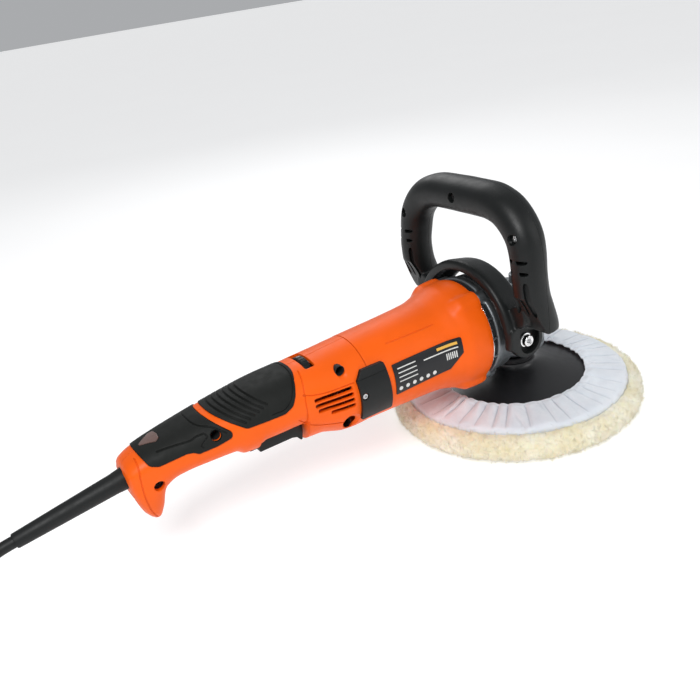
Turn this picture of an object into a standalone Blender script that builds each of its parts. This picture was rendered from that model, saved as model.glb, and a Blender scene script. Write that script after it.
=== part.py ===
"""Rotary polisher with a D-shaped loop handle, built from its separate pieces.

Frame: the origin is on the spindle's axis at the bonnet's working face, +X points
from the tail to the gear head, +Y to the tool's left and +Z up. The motor's axis is
parallel to X. Lengths below are in millimetres; the helpers turn them into metres.
"""
import math

import bmesh
import bpy
from mathutils import Matrix, Vector

MM = 0.001
GAP = 0.3

# Driving dimensions
AXIS_Z = 90.0
BONNET_RADIUS = 110.0
PLATE_RADIUS = 88.5
HOUSING_REAR_X = -165.3
HOUSING_FRONT_X = -57.6
HOUSING_WALL = 3.0
HOUSING_STEPS = 32
SHELL_WALL = 3.0

# Bevel gear pair
CROWN_TEETH = 24
PINION_TEETH = 6
CROWN_RADIUS = 24.0
TOOTH_RISE = 1.5
TOOTH_DROP = 1.9
TOOTH_LENGTH_SHARE = 0.25

# Four screws hold the gear case to the motor housing
LUG_ANGLES = {"upper_left": 36, "upper_right": -36, "lower_left": 144, "lower_right": -144}
LUG_CIRCLE = 40.5
LUG_RADIUS = 5.5
LUG_FRONT_X = -45.4

# Gear case round the spindle
CASE_RADIUS = 27.8
CASE_BOTTOM_Z = 61.2
CHAMBER_RADIUS = 25.7

# Loop handle
PIVOT_X = -33.0
PIVOT_Z = 88.5
ARCH_INNER = 50.0
ARCH_OUTER = 57.5
ARCH_FRONT = 53.4
LOOP_LEG_Y = 67.5
LOOP_BAR_Z = 198.5
LOOP_SEAM_X = -36.0

# Shell screws: x, z and the head's seat, as its distance from the middle plane
SHELL_SCREWS = {
    "upper": (-186.0, 113.0, 13.0),
    "lower": (-186.0, 68.0, 13.0),
    "rear": (-286.0, 104.0, 11.0),
    "tail": (-330.0, 82.0, 9.0),
}

# Carbon brushes and commutator
BRUSH_X = -163.0
COMMUTATOR_RADIUS = 12.5

# Trigger
TRIGGER_X = -260.0
TRIGGER_Z = 79.0

# Spindle lock
LOCK_X = 13.2

# Cord axis: where it leaves the tail, and its slope
CORD_EXIT = Vector((-338.8, 0.0, 89.9))
CORD_SLOPE = math.radians(7.7)
GUARD_LENGTH = 85.0
GUARD_RADIUS = 7.7

# Handle sections from front to tail: x on the motor axis's height, half width, top,
# bottom, height of the widest point and lean (change of x per unit of z)
HANDLE_SECTIONS = [
    (-165.8, 34.3, 124.2, 55.5, 90.0, 0.0),
    (-177.0, 34.2, 123.6, 55.0, 90.0, 0.0),
    (-188.0, 33.0, 122.8, 56.5, 90.0, 0.0),
    (-199.0, 31.0, 122.0, 60.4, 92.0, 0.0),
    (-206.0, 29.6, 121.6, 62.6, 94.0, 0.0),
    (-218.0, 28.6, 121.0, 63.2, 95.0, 0.0),
    (-219.2, 28.6, 120.9, 78.0, 96.0, 0.0),
    (-236.0, 28.8, 120.0, 78.0, 97.5, 0.0),
    (-251.0, 28.0, 118.9, 78.0, 97.5, 0.0),
    (-257.0, 27.4, 118.3, 73.6, 97.0, 0.0),
    (-266.0, 26.6, 117.3, 74.0, 97.0, 0.0),
    (-273.0, 25.8, 116.4, 78.6, 97.0, 0.0),
    (-286.0, 24.4, 114.8, 79.2, 96.6, 0.0),
    (-302.0, 22.6, 112.2, 79.3, 96.2, -0.04),
    (-315.0, 21.0, 109.9, 78.2, 95.6, -0.10),
    (-326.5, 19.4, 107.4, 73.0, 95.0, -0.18),
    (-336.0, 17.8, 104.6, 57.6, 94.0, -0.22),
    (-341.8, 16.4, 102.0, 50.6, 93.0, -0.20),
    (-346.4, 14.6, 99.2, 53.0, 93.0, -0.18),
]
SECTION_POINTS = 16
BARREL_POWER = 2.0
GRIP_POWER = 2.3
BARREL_END_X = -180.0
GRIP_START_X = -206.0
CAVITY_FLOOR = 82.4
CAVITY_TAIL_FLOOR = 86.5
CAVITY_TAIL_X = -318.0
CAVITY_END_X = -334.0

PARTS = "rotary_polisher"
CUTTERS = "cutters"

# Name: colour, roughness, metallic
MATERIALS = {
    "orange_plastic": ((0.83, 0.115, 0.018), 0.42, 0.0),
    "soft_grip": ((0.018, 0.020, 0.019), 0.75, 0.0),
    "black_plastic": ((0.022, 0.024, 0.025), 0.45, 0.0),
    "glossy_black": ((0.012, 0.012, 0.013), 0.25, 0.0),
    "label": ((0.020, 0.020, 0.024), 0.35, 0.0),
    "lens": ((0.25, 0.15, 0.12), 0.20, 0.0),
    "aluminium": ((0.60, 0.62, 0.64), 0.38, 1.0),
    "steel": ((0.55, 0.55, 0.56), 0.30, 1.0),
    "copper": ((0.72, 0.32, 0.16), 0.35, 1.0),
    "carbon": ((0.030, 0.030, 0.032), 0.60, 0.0),
    "foam": ((0.10, 0.10, 0.11), 0.95, 0.0),
    "white_fabric": ((0.78, 0.79, 0.83), 0.90, 0.0),
    "wool": ((0.80, 0.74, 0.50), 1.0, 0.0),
    "cable_rubber": ((0.015, 0.016, 0.017), 0.60, 0.0),
}


# Scene and object helpers

def clear_scene():
    for old in list(bpy.data.objects):
        bpy.data.objects.remove(old, do_unlink=True)


def make_collection(name):
    group = bpy.data.collections.new(name)
    bpy.context.scene.collection.children.link(group)
    return group


def make_material(name):
    colour, roughness, metallic = MATERIALS[name]
    material = bpy.data.materials.new(name)
    material.use_nodes = True
    shader = material.node_tree.nodes["Principled BSDF"]
    shader.inputs["Base Color"].default_value = (*colour, 1.0)
    shader.inputs["Roughness"].default_value = roughness
    shader.inputs["Metallic"].default_value = metallic
    material.diffuse_color = (*colour, 1.0)
    return material


def scaled(point):
    return Vector(point) * MM


def solid_from(bm, name):
    """A new object in the cutters' collection from a finished bmesh."""
    bmesh.ops.recalc_face_normals(bm, faces=bm.faces[:])
    mesh = bpy.data.meshes.new(name)
    bm.to_mesh(mesh)
    bm.free()
    thing = bpy.data.objects.new(name, mesh)
    bpy.data.collections[CUTTERS].objects.link(thing)
    thing.hide_render = True
    thing.display_type = "WIRE"
    return thing


def part(thing, name, material, smooth_angle=35):
    """Makes a shape one of the object's pieces."""
    bpy.data.collections[CUTTERS].objects.unlink(thing)
    bpy.data.collections[PARTS].objects.link(thing)
    thing.name = name
    thing.data.name = name
    thing.hide_render = False
    thing.display_type = "TEXTURED"
    thing.data.materials.clear()
    thing.data.materials.append(bpy.data.materials.get(material) or make_material(material))
    if thing.data.polygons:
        thing.data.shade_smooth()
        thing.data.set_sharp_from_angle(angle=math.radians(smooth_angle))
    return thing


def combine(thing, other, operation):
    modifier = thing.modifiers.new(operation.lower(), "BOOLEAN")
    modifier.operation = operation
    modifier.object = other
    return thing


def cut(thing, *cutters):
    for cutter in cutters:
        combine(thing, cutter, "DIFFERENCE")
    return thing


def add(thing, *others):
    for other in others:
        combine(thing, other, "UNION")
    return thing


def keep(thing, *others):
    for other in others:
        combine(thing, other, "INTERSECT")
    return thing


# Shape helpers

def fill_box(bm, low, high):
    size = Vector(high) - Vector(low)
    middle = (Vector(high) + Vector(low)) / 2
    place = Matrix.Translation(middle * MM) @ Matrix.Diagonal((*(size * MM), 1.0))
    bmesh.ops.create_cube(bm, size=1.0, matrix=place)


def boxes(name, corners):
    bm = bmesh.new()
    for low, high in corners:
        fill_box(bm, low, high)
    return solid_from(bm, name)


def box(name, low, high):
    return boxes(name, [(low, high)])


def rounded_box(name, low, high, radius, segments=2):
    thing = box(name, low, high)
    bevel = thing.modifiers.new("edges", "BEVEL")
    bevel.width = radius * MM
    bevel.segments = segments
    return thing


def fill_rod(bm, start, end, radius, end_radius=None, sides=20):
    start, end = scaled(start), scaled(end)
    along = end - start
    turn = along.to_track_quat("Z", "Y").to_matrix().to_4x4()
    place = Matrix.Translation((start + end) / 2) @ turn
    bmesh.ops.create_cone(
        bm,
        cap_ends=True,
        segments=sides,
        radius1=radius * MM,
        radius2=(radius if end_radius is None else end_radius) * MM,
        depth=along.length,
        matrix=place,
    )


def rod(name, start, end, radius, end_radius=None, sides=14):
    """A closed cylinder or cone from start to end."""
    bm = bmesh.new()
    fill_rod(bm, start, end, radius, end_radius, sides)
    return solid_from(bm, name)


def rods(name, ends, radius, sides=14):
    bm = bmesh.new()
    for start, end in ends:
        fill_rod(bm, start, end, radius, sides=sides)
    return solid_from(bm, name)


def turned(name, profile, steps=24, along="Z", place=(0.0, 0.0, 0.0), closed=False):
    """Turns (radius, height) points, listed down the outer side, about an axis."""
    bm = bmesh.new()
    corners = [bm.verts.new(scaled((radius, 0.0, height))) for radius, height in profile]
    for first, second in zip(corners, corners[1:]):
        bm.edges.new((first, second))
    if closed:
        bm.edges.new((corners[-1], corners[0]))
    mesh = bpy.data.meshes.new(name)
    bm.to_mesh(mesh)
    bm.free()
    thing = bpy.data.objects.new(name, mesh)
    bpy.data.collections[CUTTERS].objects.link(thing)
    thing.hide_render = True
    thing.display_type = "WIRE"
    thing.location = scaled(place)
    if along == "X":
        thing.rotation_euler = (0.0, math.radians(90), 0.0)
    screw = thing.modifiers.new("turn", "SCREW")
    screw.steps = steps
    screw.render_steps = steps
    screw.use_merge_vertices = True
    screw.merge_threshold = 0.00005
    screw.use_smooth_shade = True
    return thing


def ring(name, inner, outer, low, high, steps=18, along="Z", place=(0.0, 0.0, 0.0)):
    profile = [(inner, high), (outer, high), (outer, low), (inner, low)]
    return turned(name, profile, steps, along, place, closed=True)


def loft(name, rings):
    """A closed solid through rings of the same number of points, with flat end caps."""
    bm = bmesh.new()
    loops = [[bm.verts.new(scaled(point)) for point in points] for points in rings]
    for first, second in zip(loops, loops[1:]):
        for index in range(len(first)):
            after = (index + 1) % len(first)
            bm.faces.new((first[index], first[after], second[after], second[index]))
    bmesh.ops.triangulate(bm, faces=bm.faces[:])
    bm.faces.new(loops[0])
    bm.faces.new(loops[-1])
    return solid_from(bm, name)


def prism(name, outline, low, high, along="Y"):
    """Extrudes a flat outline of (x, z) points along Y, or (x, y) points along Z."""
    def place(point, level):
        if along == "Y":
            return (point[0], level, point[1])
        return (point[0], point[1], level)

    return loft(name, [[place(point, low) for point in outline], [place(point, high) for point in outline]])


def grown(outline, amount):
    """The outline moved outwards by an amount, whichever way round it is listed."""
    count = len(outline)
    area = sum(
        outline[i][0] * outline[(i + 1) % count][1] - outline[(i + 1) % count][0] * outline[i][1]
        for i in range(count)
    )
    side = 1.0 if area > 0 else -1.0
    moved = []
    for i in range(count):
        here = Vector(outline[i])
        before = (here - Vector(outline[i - 1])).normalized()
        after = (Vector(outline[(i + 1) % count]) - here).normalized()
        first = Vector((before.y, -before.x)) * side
        second = Vector((after.y, -after.x)) * side
        middle = (first + second).normalized()
        moved.append(tuple(here + middle * (amount / max(middle.dot(first), 0.5))))
    return moved


def tube(name, points, radius, sides_resolution=2, cyclic=False, radii=None):
    """A round wire or pipe along points, as a closed mesh."""
    curve = bpy.data.curves.new(name, "CURVE")
    curve.dimensions = "3D"
    curve.bevel_depth = radius * MM
    curve.bevel_resolution = sides_resolution
    curve.use_fill_caps = not cyclic
    spline = curve.splines.new("POLY")
    spline.points.add(len(points) - 1)
    spline.use_cyclic_u = cyclic
    for index, point in enumerate(points):
        spline.points[index].co = (*scaled(point), 1.0)
        spline.points[index].radius = radii[index] if radii else 1.0
    drawn = bpy.data.objects.new(name, curve)
    bpy.data.collections[CUTTERS].objects.link(drawn)
    bpy.context.view_layer.update()
    evaluated = drawn.evaluated_get(bpy.context.evaluated_depsgraph_get())
    mesh = bpy.data.meshes.new_from_object(evaluated)
    bm = bmesh.new()
    bm.from_mesh(mesh)
    bpy.data.meshes.remove(mesh)
    bmesh.ops.remove_doubles(bm, verts=bm.verts[:], dist=0.00001)
    bmesh.ops.triangulate(bm, faces=bm.faces[:])
    bpy.data.objects.remove(drawn)
    bpy.data.curves.remove(curve)
    return solid_from(bm, name)


def arc(centre, radius, start, end, count):
    """Points (u, v) on an arc, angles in degrees."""
    angles = [math.radians(start + (end - start) * i / (count - 1)) for i in range(count)]
    return [(centre[0] + radius * math.cos(a), centre[1] + radius * math.sin(a)) for a in angles]


# Handle body: a loft of rounded sections

def section_ring(section, offset):
    """Points round a section: round at the barrel, squarer along the grip."""
    x_mid, half_width, top, bottom, wide, lean = section
    share = min(max((BARREL_END_X - x_mid) / (BARREL_END_X - GRIP_START_X), 0.0), 1.0)
    power = BARREL_POWER + (GRIP_POWER - BARREL_POWER) * share
    points = []
    for index in range(SECTION_POINTS):
        angle = 2 * math.pi * index / SECTION_POINTS
        across = math.copysign(abs(math.sin(angle)) ** (2 / power), math.sin(angle))
        up = math.copysign(abs(math.cos(angle)) ** (2 / power), math.cos(angle))
        reach = (top - wide if up > 0 else wide - bottom) + offset
        z = wide + reach * up
        points.append((x_mid + lean * (z - AXIS_Z), (half_width + offset) * across, z))
    return points


def handle_form(name, offset, overrun=0.0):
    """The handle's outer form, moved outwards by offset, longer at both ends by overrun."""
    rings = [section_ring(section, offset) for section in HANDLE_SECTIONS]
    rings[0] = [(x + overrun, y, z) for x, y, z in rings[0]]
    rings[-1] = [(x - overrun, y, z) for x, y, z in rings[-1]]
    return loft(name, rings)


def cavity_sections():
    """Inner sections: the guard, the trigger's seat and the tail's hook stay solid."""
    sections = []
    for x_mid, half_width, top, bottom, wide, _ in HANDLE_SECTIONS:
        if x_mid < CAVITY_END_X:
            break
        floor = bottom + SHELL_WALL
        if x_mid < HANDLE_SECTIONS[3][0]:
            floor = max(CAVITY_FLOOR, bottom + SHELL_WALL)
        if x_mid < CAVITY_TAIL_X:
            floor = CAVITY_TAIL_FLOOR
        sections.append((x_mid, half_width - SHELL_WALL, top - SHELL_WALL, floor, wide, 0.0))
    last = sections[-1]
    sections.append((CAVITY_END_X, last[1] - 3.0, last[2] - 3.0, last[3], last[4], 0.0))
    return sections


def cavity_form(name):
    rings = [section_ring(section, 0.0) for section in cavity_sections()]
    rings[0] = [(x + 5.0, y, z) for x, y, z in rings[0]]
    return loft(name, rings)


FRONT_GRIP_OUTLINE = [
    (-285.0, 130.0), (-284.0, 116.2), (-264.5, 101.2), (-236.0, 101.0),
    (-229.0, 103.8), (-225.0, 109.0), (-220.0, 117.0), (-215.5, 121.6), (-215.0, 130.0),
]
REAR_COVER_OUTLINE = [
    (-336.5, 130.0), (-336.0, 107.0), (-332.5, 99.6), (-327.0, 97.6), (-308.0, 99.4),
    (-303.5, 98.6), (-300.0, 96.2), (-287.0, 96.8), (-272.0, 99.8), (-290.0, 116.6), (-291.0, 130.0),
]
BRUSH_COVER_OUTLINE = [(-178.5, 104.0), (-172.5, 110.0), (-153.0, 110.0), (-151.5, 71.0), (-178.5, 71.0)]
LABEL_OUTLINE = [(-147.0, 104.5), (-85.0, 106.0), (-85.5, 94.0), (-97.0, 83.0), (-147.0, 80.0)]
LENS_OUTLINE = [(-333.0, 0.0), (-321.5, -7.5), (-318.8, -5.5), (-318.2, 0.0), (-318.8, 5.5), (-321.5, 7.5)]
GRIP_DEPTH = 1.2
GRIP_PROUD = 0.7
SIDE_REACH = 45.0


def inlay(name, outline):
    """A skin piece set into the handle's surface within a side outline."""
    piece = prism(name, outline, -SIDE_REACH, SIDE_REACH)
    keep(piece, handle_form(name + "_outside", GRIP_PROUD, 2.0))
    cut(piece, handle_form(name + "_inside", -GRIP_DEPTH, 6.0))
    return piece


def inlay_seat(name, outline):
    seat = prism(name, grown(outline, GAP), -SIDE_REACH, SIDE_REACH)
    return cut(seat, handle_form(name + "_floor", -GRIP_DEPTH - GAP, 6.0))


def cord_point(distance, height=0.0):
    """A point on the cord's axis, at a distance out from the tail socket."""
    along = Vector((-math.cos(CORD_SLOPE), 0.0, -math.sin(CORD_SLOPE)))
    return CORD_EXIT + along * distance + Vector((0.0, 0.0, height))


def shell_openings():
    """Everything that is cut from both halves of the handle."""
    slots = []
    for side in (-1, 1):
        for index, low_z in enumerate((98.4, 94.0, 89.6, 85.2)):
            rear_x = -212.0 if index < 3 else -201.3
            slots.append(((rear_x, side * 30.0 - 8.0, low_z), (-182.0, side * 30.0 + 8.0, low_z + 2.6)))
    return [
        inlay_seat("front_grip_seat", FRONT_GRIP_OUTLINE),
        inlay_seat("rear_cover_seat", REAR_COVER_OUTLINE),
        boxes("vent_slots", slots),
        box("trigger_seat", (-263.4, -12.4, 50.0), (-250.0, 12.4, 86.0)),
        box("trigger_slot", (-256.8, -18.0, 50.0), (-219.5, 18.0, 90.0)),
        box("handle_underside", (-256.4, -60.0, 50.0), (-221.5, 60.0, 84.2)),
        rod("trigger_holes", (TRIGGER_X, -16.2, TRIGGER_Z), (TRIGGER_X, 16.2, TRIGGER_Z), 2.3, sides=16),
        box("dial_slot", (-207.4, -14.0, 112.0), (-199.6, 14.0, 130.0)),
        rod("guard_socket", cord_point(0.0), cord_point(30.0), GUARD_RADIUS + 0.4, sides=20),
        rod("cable_passage", cord_point(-20.0), cord_point(2.0), 4.8),
        rods("brush_openings", [((BRUSH_X, -45.0, AXIS_Z), (BRUSH_X, 45.0, AXIS_Z))], 7.5),
    ]


def build_handle_shells():
    openings = shell_openings()
    cavity = cavity_form("handle_cavity")
    for name, side in (("handle_shell_left", 1), ("handle_shell_right", -1)):
        shell = handle_form(name, 0.0)
        cut(shell, cavity)
        ends = []
        for screw_name, (x, z, _) in SHELL_SCREWS.items():
            if screw_name != "tail":
                ends.append(((x, -6.0 * side, z), (x, 45.0 * side, z)))
        bosses = rods(name + "_bosses", ends, 5.2)
        add(shell, keep(bosses, handle_form(name + "_boss_limit", -1.0)))
        half_low = (-400.0, 0.15, 0.0) if side > 0 else (-400.0, -60.0, 0.0)
        half_high = (-100.0, 60.0, 200.0) if side > 0 else (-100.0, -0.15, 200.0)
        keep(shell, box(name + "_half", half_low, half_high))
        for screw_name, (x, z, seat) in SHELL_SCREWS.items():
            if side < 0:
                cut(shell, rod(screw_name + "_head_bore", (x, -60.0, z), (x, -seat, z), 3.8))
            cut(shell, rod(name + screw_name + "_hole", (x, -30.0, z), (x, 9.5, z), 1.9, sides=12))
        cut(shell, *openings)
        if side > 0:
            cut(shell, rod("lock_button_hole", (-226.0, 10.0, 93.0), (-226.0, 60.0, 93.0), 5.4))
        part(shell, name, "orange_plastic")


def build_shell_screws():
    for name, (x, z, seat) in SHELL_SCREWS.items():
        head = seat + GAP
        screw = rod("handle_screw_" + name, (x, -head, z), (x, -head - 2.6, z), 3.3, 2.6, sides=10)
        add(screw, rod(name + "_shank", (x, -head - 0.5, z), (x, 8.8, z), 1.5, sides=6))
        cut(screw, rod(name + "_drive", (x, -head - 1.2, z), (x, -head - 5.0, z), 1.5, sides=6))
        part(screw, "handle_screw_" + name, "steel")


def build_grips():
    part(inlay("front_grip", FRONT_GRIP_OUTLINE), "front_grip", "soft_grip")
    cover = inlay("rear_cover", REAR_COVER_OUTLINE)
    x, z, _ = SHELL_SCREWS["rear"]
    cut(cover, rod("rear_cover_bore", (x, -60.0, z), (x, 0.0, z), 3.8))
    cut(cover, prism("lens_window", grown(LENS_OUTLINE, GAP), 90.0, 130.0, along="Z"))
    part(cover, "rear_cover", "soft_grip")
    lens = prism("indicator_lens", LENS_OUTLINE, 90.0, 130.0, along="Z")
    keep(lens, handle_form("lens_outside", GRIP_PROUD, 2.0))
    cut(lens, handle_form("lens_inside", -GRIP_DEPTH, 6.0))
    part(lens, "indicator_lens", "lens")


# Motor housing and what is fixed to it

HOUSING_PROFILE = [
    (43.5, HOUSING_FRONT_X), (44.0, -61.0), (43.3, -74.0), (40.6, -84.0),
    (37.6, -96.0), (36.1, -118.0), (34.4, HOUSING_REAR_X),
]


def housing_form(name, offset, overrun=0.0):
    profile = [(radius + offset, x) for radius, x in HOUSING_PROFILE]
    profile[0] = (profile[0][0], profile[0][1] + overrun)
    profile[-1] = (profile[-1][0], profile[-1][1] - overrun)
    profile = [(0.0, profile[0][1])] + profile + [(0.0, profile[-1][1])]
    return turned(name, profile, HOUSING_STEPS, "X", (0.0, 0.0, AXIS_Z))


def lug_centre(key):
    angle = math.radians(LUG_ANGLES[key])
    return LUG_CIRCLE * math.sin(angle), AXIS_Z + LUG_CIRCLE * math.cos(angle)


def lug_rods(name, x_from, x_to, radius, sides=10):
    centres = [lug_centre(key) for key in LUG_ANGLES]
    return rods(name, [((x_from, y, z), (x_to, y, z)) for y, z in centres], radius, sides)


def build_motor_housing():
    housing = housing_form("motor_housing", 0.0)
    for key in LUG_ANGLES:
        y, z = lug_centre(key)
        inward = 0.86
        rear = (-88.0, y * inward, AXIS_Z + (z - AXIS_Z) * inward)
        add(housing, rod(key + "_boss", rear, (HOUSING_FRONT_X - 1.5, y, z), 2.0, 6.2, sides=10))
    for key in LUG_ANGLES:
        y, z = lug_centre(key)
        cut(housing, rod(key + "_screw_hole", (-71.6, y, z), (-50.0, y, z), 1.9, sides=8))
    cut(housing, housing_form("housing_bore", -HOUSING_WALL, 3.0))
    cut(housing, rod("housing_openings", (BRUSH_X, -45.0, AXIS_Z), (BRUSH_X, 45.0, AXIS_Z), 7.5))
    part(housing, "motor_housing", "orange_plastic")


def skin_plate(name, outline, inner, outer, side):
    """A plate bent round the motor housing's surface within a side outline."""
    plate = prism(name, outline, side * 1.0, side * 60.0)
    keep(plate, housing_skin(name + "_outside", outer))
    return cut(plate, housing_skin(name + "_inside", inner))


def housing_skin(name, offset):
    """The housing's form, carried on straight over the handle's front end."""
    profile = [(radius + offset, x) for radius, x in HOUSING_PROFILE]
    profile[-1] = (profile[-1][0], -190.0)
    outline = [(0.0, profile[0][1])] + profile + [(0.0, -190.0)]
    return turned(name, outline, HOUSING_STEPS, "X", (0.0, 0.0, AXIS_Z))


def build_brush_covers():
    x, z = -175.0, 91.5
    for name, side in (("left", 1), ("right", -1)):
        cover = skin_plate("brush_cover_" + name, BRUSH_COVER_OUTLINE, 0.4, 2.6, side)
        cut(cover, rod(name + "_cover_bore", (x, side * 20.0, z), (x, side * 45.0, z), 2.8, sides=14))
        part(cover, "brush_cover_" + name, "black_plastic")
        low, face = side * 35.0, side * 36.6
        screw = rod("brush_cover_screw_" + name, (x, low, z), (x, face, z), 2.4, sides=12)
        cut(screw, box(name + "_slot", (x - 2.0, face - 0.8, z - 0.4), (x + 2.0, face + 0.8, z + 0.4)))
        part(screw, "brush_cover_screw_" + name, "steel")


def build_label():
    part(skin_plate("rating_label", LABEL_OUTLINE, 0.3, 0.8, -1), "rating_label", "label")


# Gear head

def pivot_rods(name, near, far, radius, sides):
    """A rod on each side of the head, on the loop handle's axis."""
    ends = [((PIVOT_X, side * near, PIVOT_Z), (PIVOT_X, side * far, PIVOT_Z)) for side in (-1, 1)]
    return rods(name, ends, radius, sides)


def build_gearbox_housing():
    case = turned("gearbox_housing", [
        (0.0, 110.5), (18.0, 110.5), (23.6, 108.8), (26.8, 105.0), (CASE_RADIUS, 100.0),
        (CASE_RADIUS, CASE_BOTTOM_Z), (0.0, CASE_BOTTOM_Z),
    ], 28)
    flange_back, flange_front = -52.3, -46.3
    barrel_back, barrel_front = (flange_front - 1.0, 0, AXIS_Z), (-14.0, 0, AXIS_Z)
    add(case, rod("gearbox_barrel", barrel_back, barrel_front, 36.8, 29.0, sides=20))
    add(case, rod("gearbox_flange", (flange_back, 0, AXIS_Z), (flange_front, 0, AXIS_Z), 43.4, sides=28))
    add(case, lug_rods("gearbox_lugs", HOUSING_FRONT_X + GAP, LUG_FRONT_X, LUG_RADIUS))
    add(case, pivot_rods("handle_pads", 20.0, 48.6, 8.6, 14))
    add(case, rod("lock_boss", (LOCK_X, 0, 100.0), (LOCK_X, 0, 118.0), 9.4))
    cut(case, rod("cover_room", (0, 0, 40.0), (0, 0, CASE_BOTTOM_Z), CASE_RADIUS + 0.4, sides=28))
    cut(case, rod("gear_chamber", (0, 0, 50.0), (0, 0, 97.0), CHAMBER_RADIUS, sides=28))
    cut(case, rod("upper_bearing_pocket", (0, 0, 90.0), (0, 0, 107.0), 6.8))
    cut(case, rod("front_bearing_pocket", (-60.0, 0, AXIS_Z), (-36.0, 0, AXIS_Z), 13.8, sides=18))
    cut(case, rod("pinion_passage", (-60.0, 0, AXIS_Z), (-20.0, 0, AXIS_Z), 10.0, sides=12))
    cut(case, rod("lock_pocket", (LOCK_X, 0, 106.0), (LOCK_X, 0, 130.0), 6.2))
    cut(case, rod("lock_guide", (LOCK_X, 0, 90.0), (LOCK_X, 0, 110.0), 2.5, sides=12))
    cut(case, pivot_rods("bolt_holes", 34.0, 60.0, 3.7, 16))
    cut(case, lug_rods("lug_holes", -70.0, -40.0, 1.9, 10))
    part(case, "gearbox_housing", "aluminium")


def build_gearbox_cover():
    seat = CASE_BOTTOM_Z - GAP
    cover = turned("gearbox_cover", [
        (14.3, 63.2), (CHAMBER_RADIUS - 0.4, 63.2), (CHAMBER_RADIUS - 0.4, seat), (CASE_RADIUS, seat),
        (CASE_RADIUS, 57.6), (26.6, 56.6), (19.0, 53.6), (16.8, 50.2), (9.0, 50.2), (9.0, 53.9),
        (14.3, 53.9),
    ], 28, closed=True)
    part(cover, "gearbox_cover", "aluminium")


def build_gearbox_screws():
    for key in LUG_ANGLES:
        y, z = lug_centre(key)
        back, face = LUG_FRONT_X + GAP, LUG_FRONT_X + 3.4
        screw = rod("gearbox_screw_" + key, (back, y, z), (face, y, z), 3.2, sides=10)
        add(screw, rod(key + "_shank", (back + 0.5, y, z), (-70.0, y, z), 1.5, sides=6))
        cut(screw, rod(key + "_socket", (face - 1.8, y, z), (face + 3.0, y, z), 1.5, sides=6))
        part(screw, "gearbox_screw_" + key, "steel")


def build_exhaust_ring():
    vent = ring("exhaust_ring", 33.0, 41.6, HOUSING_FRONT_X + GAP, -52.6, 28, "X", (0.0, 0.0, AXIS_Z))
    cut(vent, lug_rods("ring_notches", -60.0, -50.0, LUG_RADIUS + GAP))
    part(vent, "exhaust_ring", "black_plastic")


def build_bearings():
    lower = ring("spindle_lower_bearing", 8.5, 14.0, 54.2, 60.8)
    part(lower, "spindle_lower_bearing", "steel")
    upper = ring("spindle_upper_bearing", 4.9, 6.5, 98.0, 106.5, 14)
    part(upper, "spindle_upper_bearing", "steel")
    front = ring("armature_front_bearing", 5.4, 13.5, -48.0, -36.3, 16, "X", (0.0, 0.0, AXIS_Z))
    part(front, "armature_front_bearing", "steel")
    rear = ring("armature_rear_bearing", 4.4, 11.0, -184.0, -177.0, 16, "X", (0.0, 0.0, AXIS_Z))
    part(rear, "armature_rear_bearing", "steel")


# Gears

def tooth_outline(teeth, half_pitch, tip, root, first):
    """Angles and heights over the pitch cone along one turn of a gear's tooth outline."""
    points = []
    for tooth in range(teeth):
        middle = first + 2 * math.pi * tooth / teeth
        points.append((middle - root * half_pitch, -TOOTH_DROP))
        points.append((middle - tip * half_pitch, TOOTH_RISE))
        points.append((middle + tip * half_pitch, TOOTH_RISE))
        points.append((middle + root * half_pitch, -TOOTH_DROP))
    return points


def cone_point(angle, height, pitch_radius, mate_radius, share):
    """Radius and distance from the cones' apex along the gear's axis."""
    slant = math.hypot(pitch_radius, mate_radius)
    radius = (pitch_radius + height * mate_radius / slant) * share
    distance = (mate_radius - height * pitch_radius / slant) * share
    return radius, distance


def build_crown_gear():
    pinion_radius = CROWN_RADIUS * PINION_TEETH / CROWN_TEETH
    half_pitch = math.pi / CROWN_TEETH
    outline = tooth_outline(CROWN_TEETH, half_pitch, 0.17, 0.56, math.pi + half_pitch)
    inner_share = 1.0 - TOOTH_LENGTH_SHARE

    def level(radius, z):
        return [(radius * math.cos(a), radius * math.sin(a), z) for a, _ in outline]

    def teeth(share):
        points = []
        for angle, height in outline:
            radius, drop = cone_point(angle, height, CROWN_RADIUS, pinion_radius, share)
            points.append((radius * math.cos(angle), radius * math.sin(angle), AXIS_Z - drop))
        return points

    rim = [level(21.5, 71.0), level(24.9, 74.0)]
    gear = loft("crown_gear", rim + [teeth(1.0), teeth(inner_share), level(16.4, 80.5)])
    cut(gear, rod("crown_bore", (0, 0, 60), (0, 0, 95), 8.3, sides=20))
    spots = [(math.cos(a) * LOCK_X, math.sin(a) * LOCK_X) for a in (0, math.pi / 2, math.pi, 1.5 * math.pi)]
    cut(gear, rods("lock_holes", [((x, y, 60), (x, y, 90)) for x, y in spots], 2.5, 12))
    part(gear, "crown_gear", "steel")


def build_pinion():
    pitch_radius = CROWN_RADIUS * PINION_TEETH / CROWN_TEETH
    half_pitch = math.pi / PINION_TEETH
    outline = tooth_outline(PINION_TEETH, half_pitch, 0.17, 0.66, -math.pi / 2)

    def level(radius, x):
        return [(x, radius * math.cos(a), AXIS_Z + radius * math.sin(a)) for a, _ in outline]

    def teeth(share):
        points = []
        for angle, height in outline:
            radius, distance = cone_point(angle, height, pitch_radius, CROWN_RADIUS, share)
            points.append((-distance, radius * math.cos(angle), AXIS_Z + radius * math.sin(angle)))
        return points

    neck = [level(6.0, -31.0), level(6.0, -26.4)]
    gear = loft("pinion_gear", neck + [teeth(1.0), teeth(1.0 - TOOTH_LENGTH_SHARE)])
    cut(gear, rod("pinion_bore", (-35.0, 0, AXIS_Z), (-26.2, 0, AXIS_Z), 3.6, sides=12))
    place_origin(part(gear, "pinion_gear", "steel"), (0.0, 0.0, AXIS_Z))


# Motor

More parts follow.
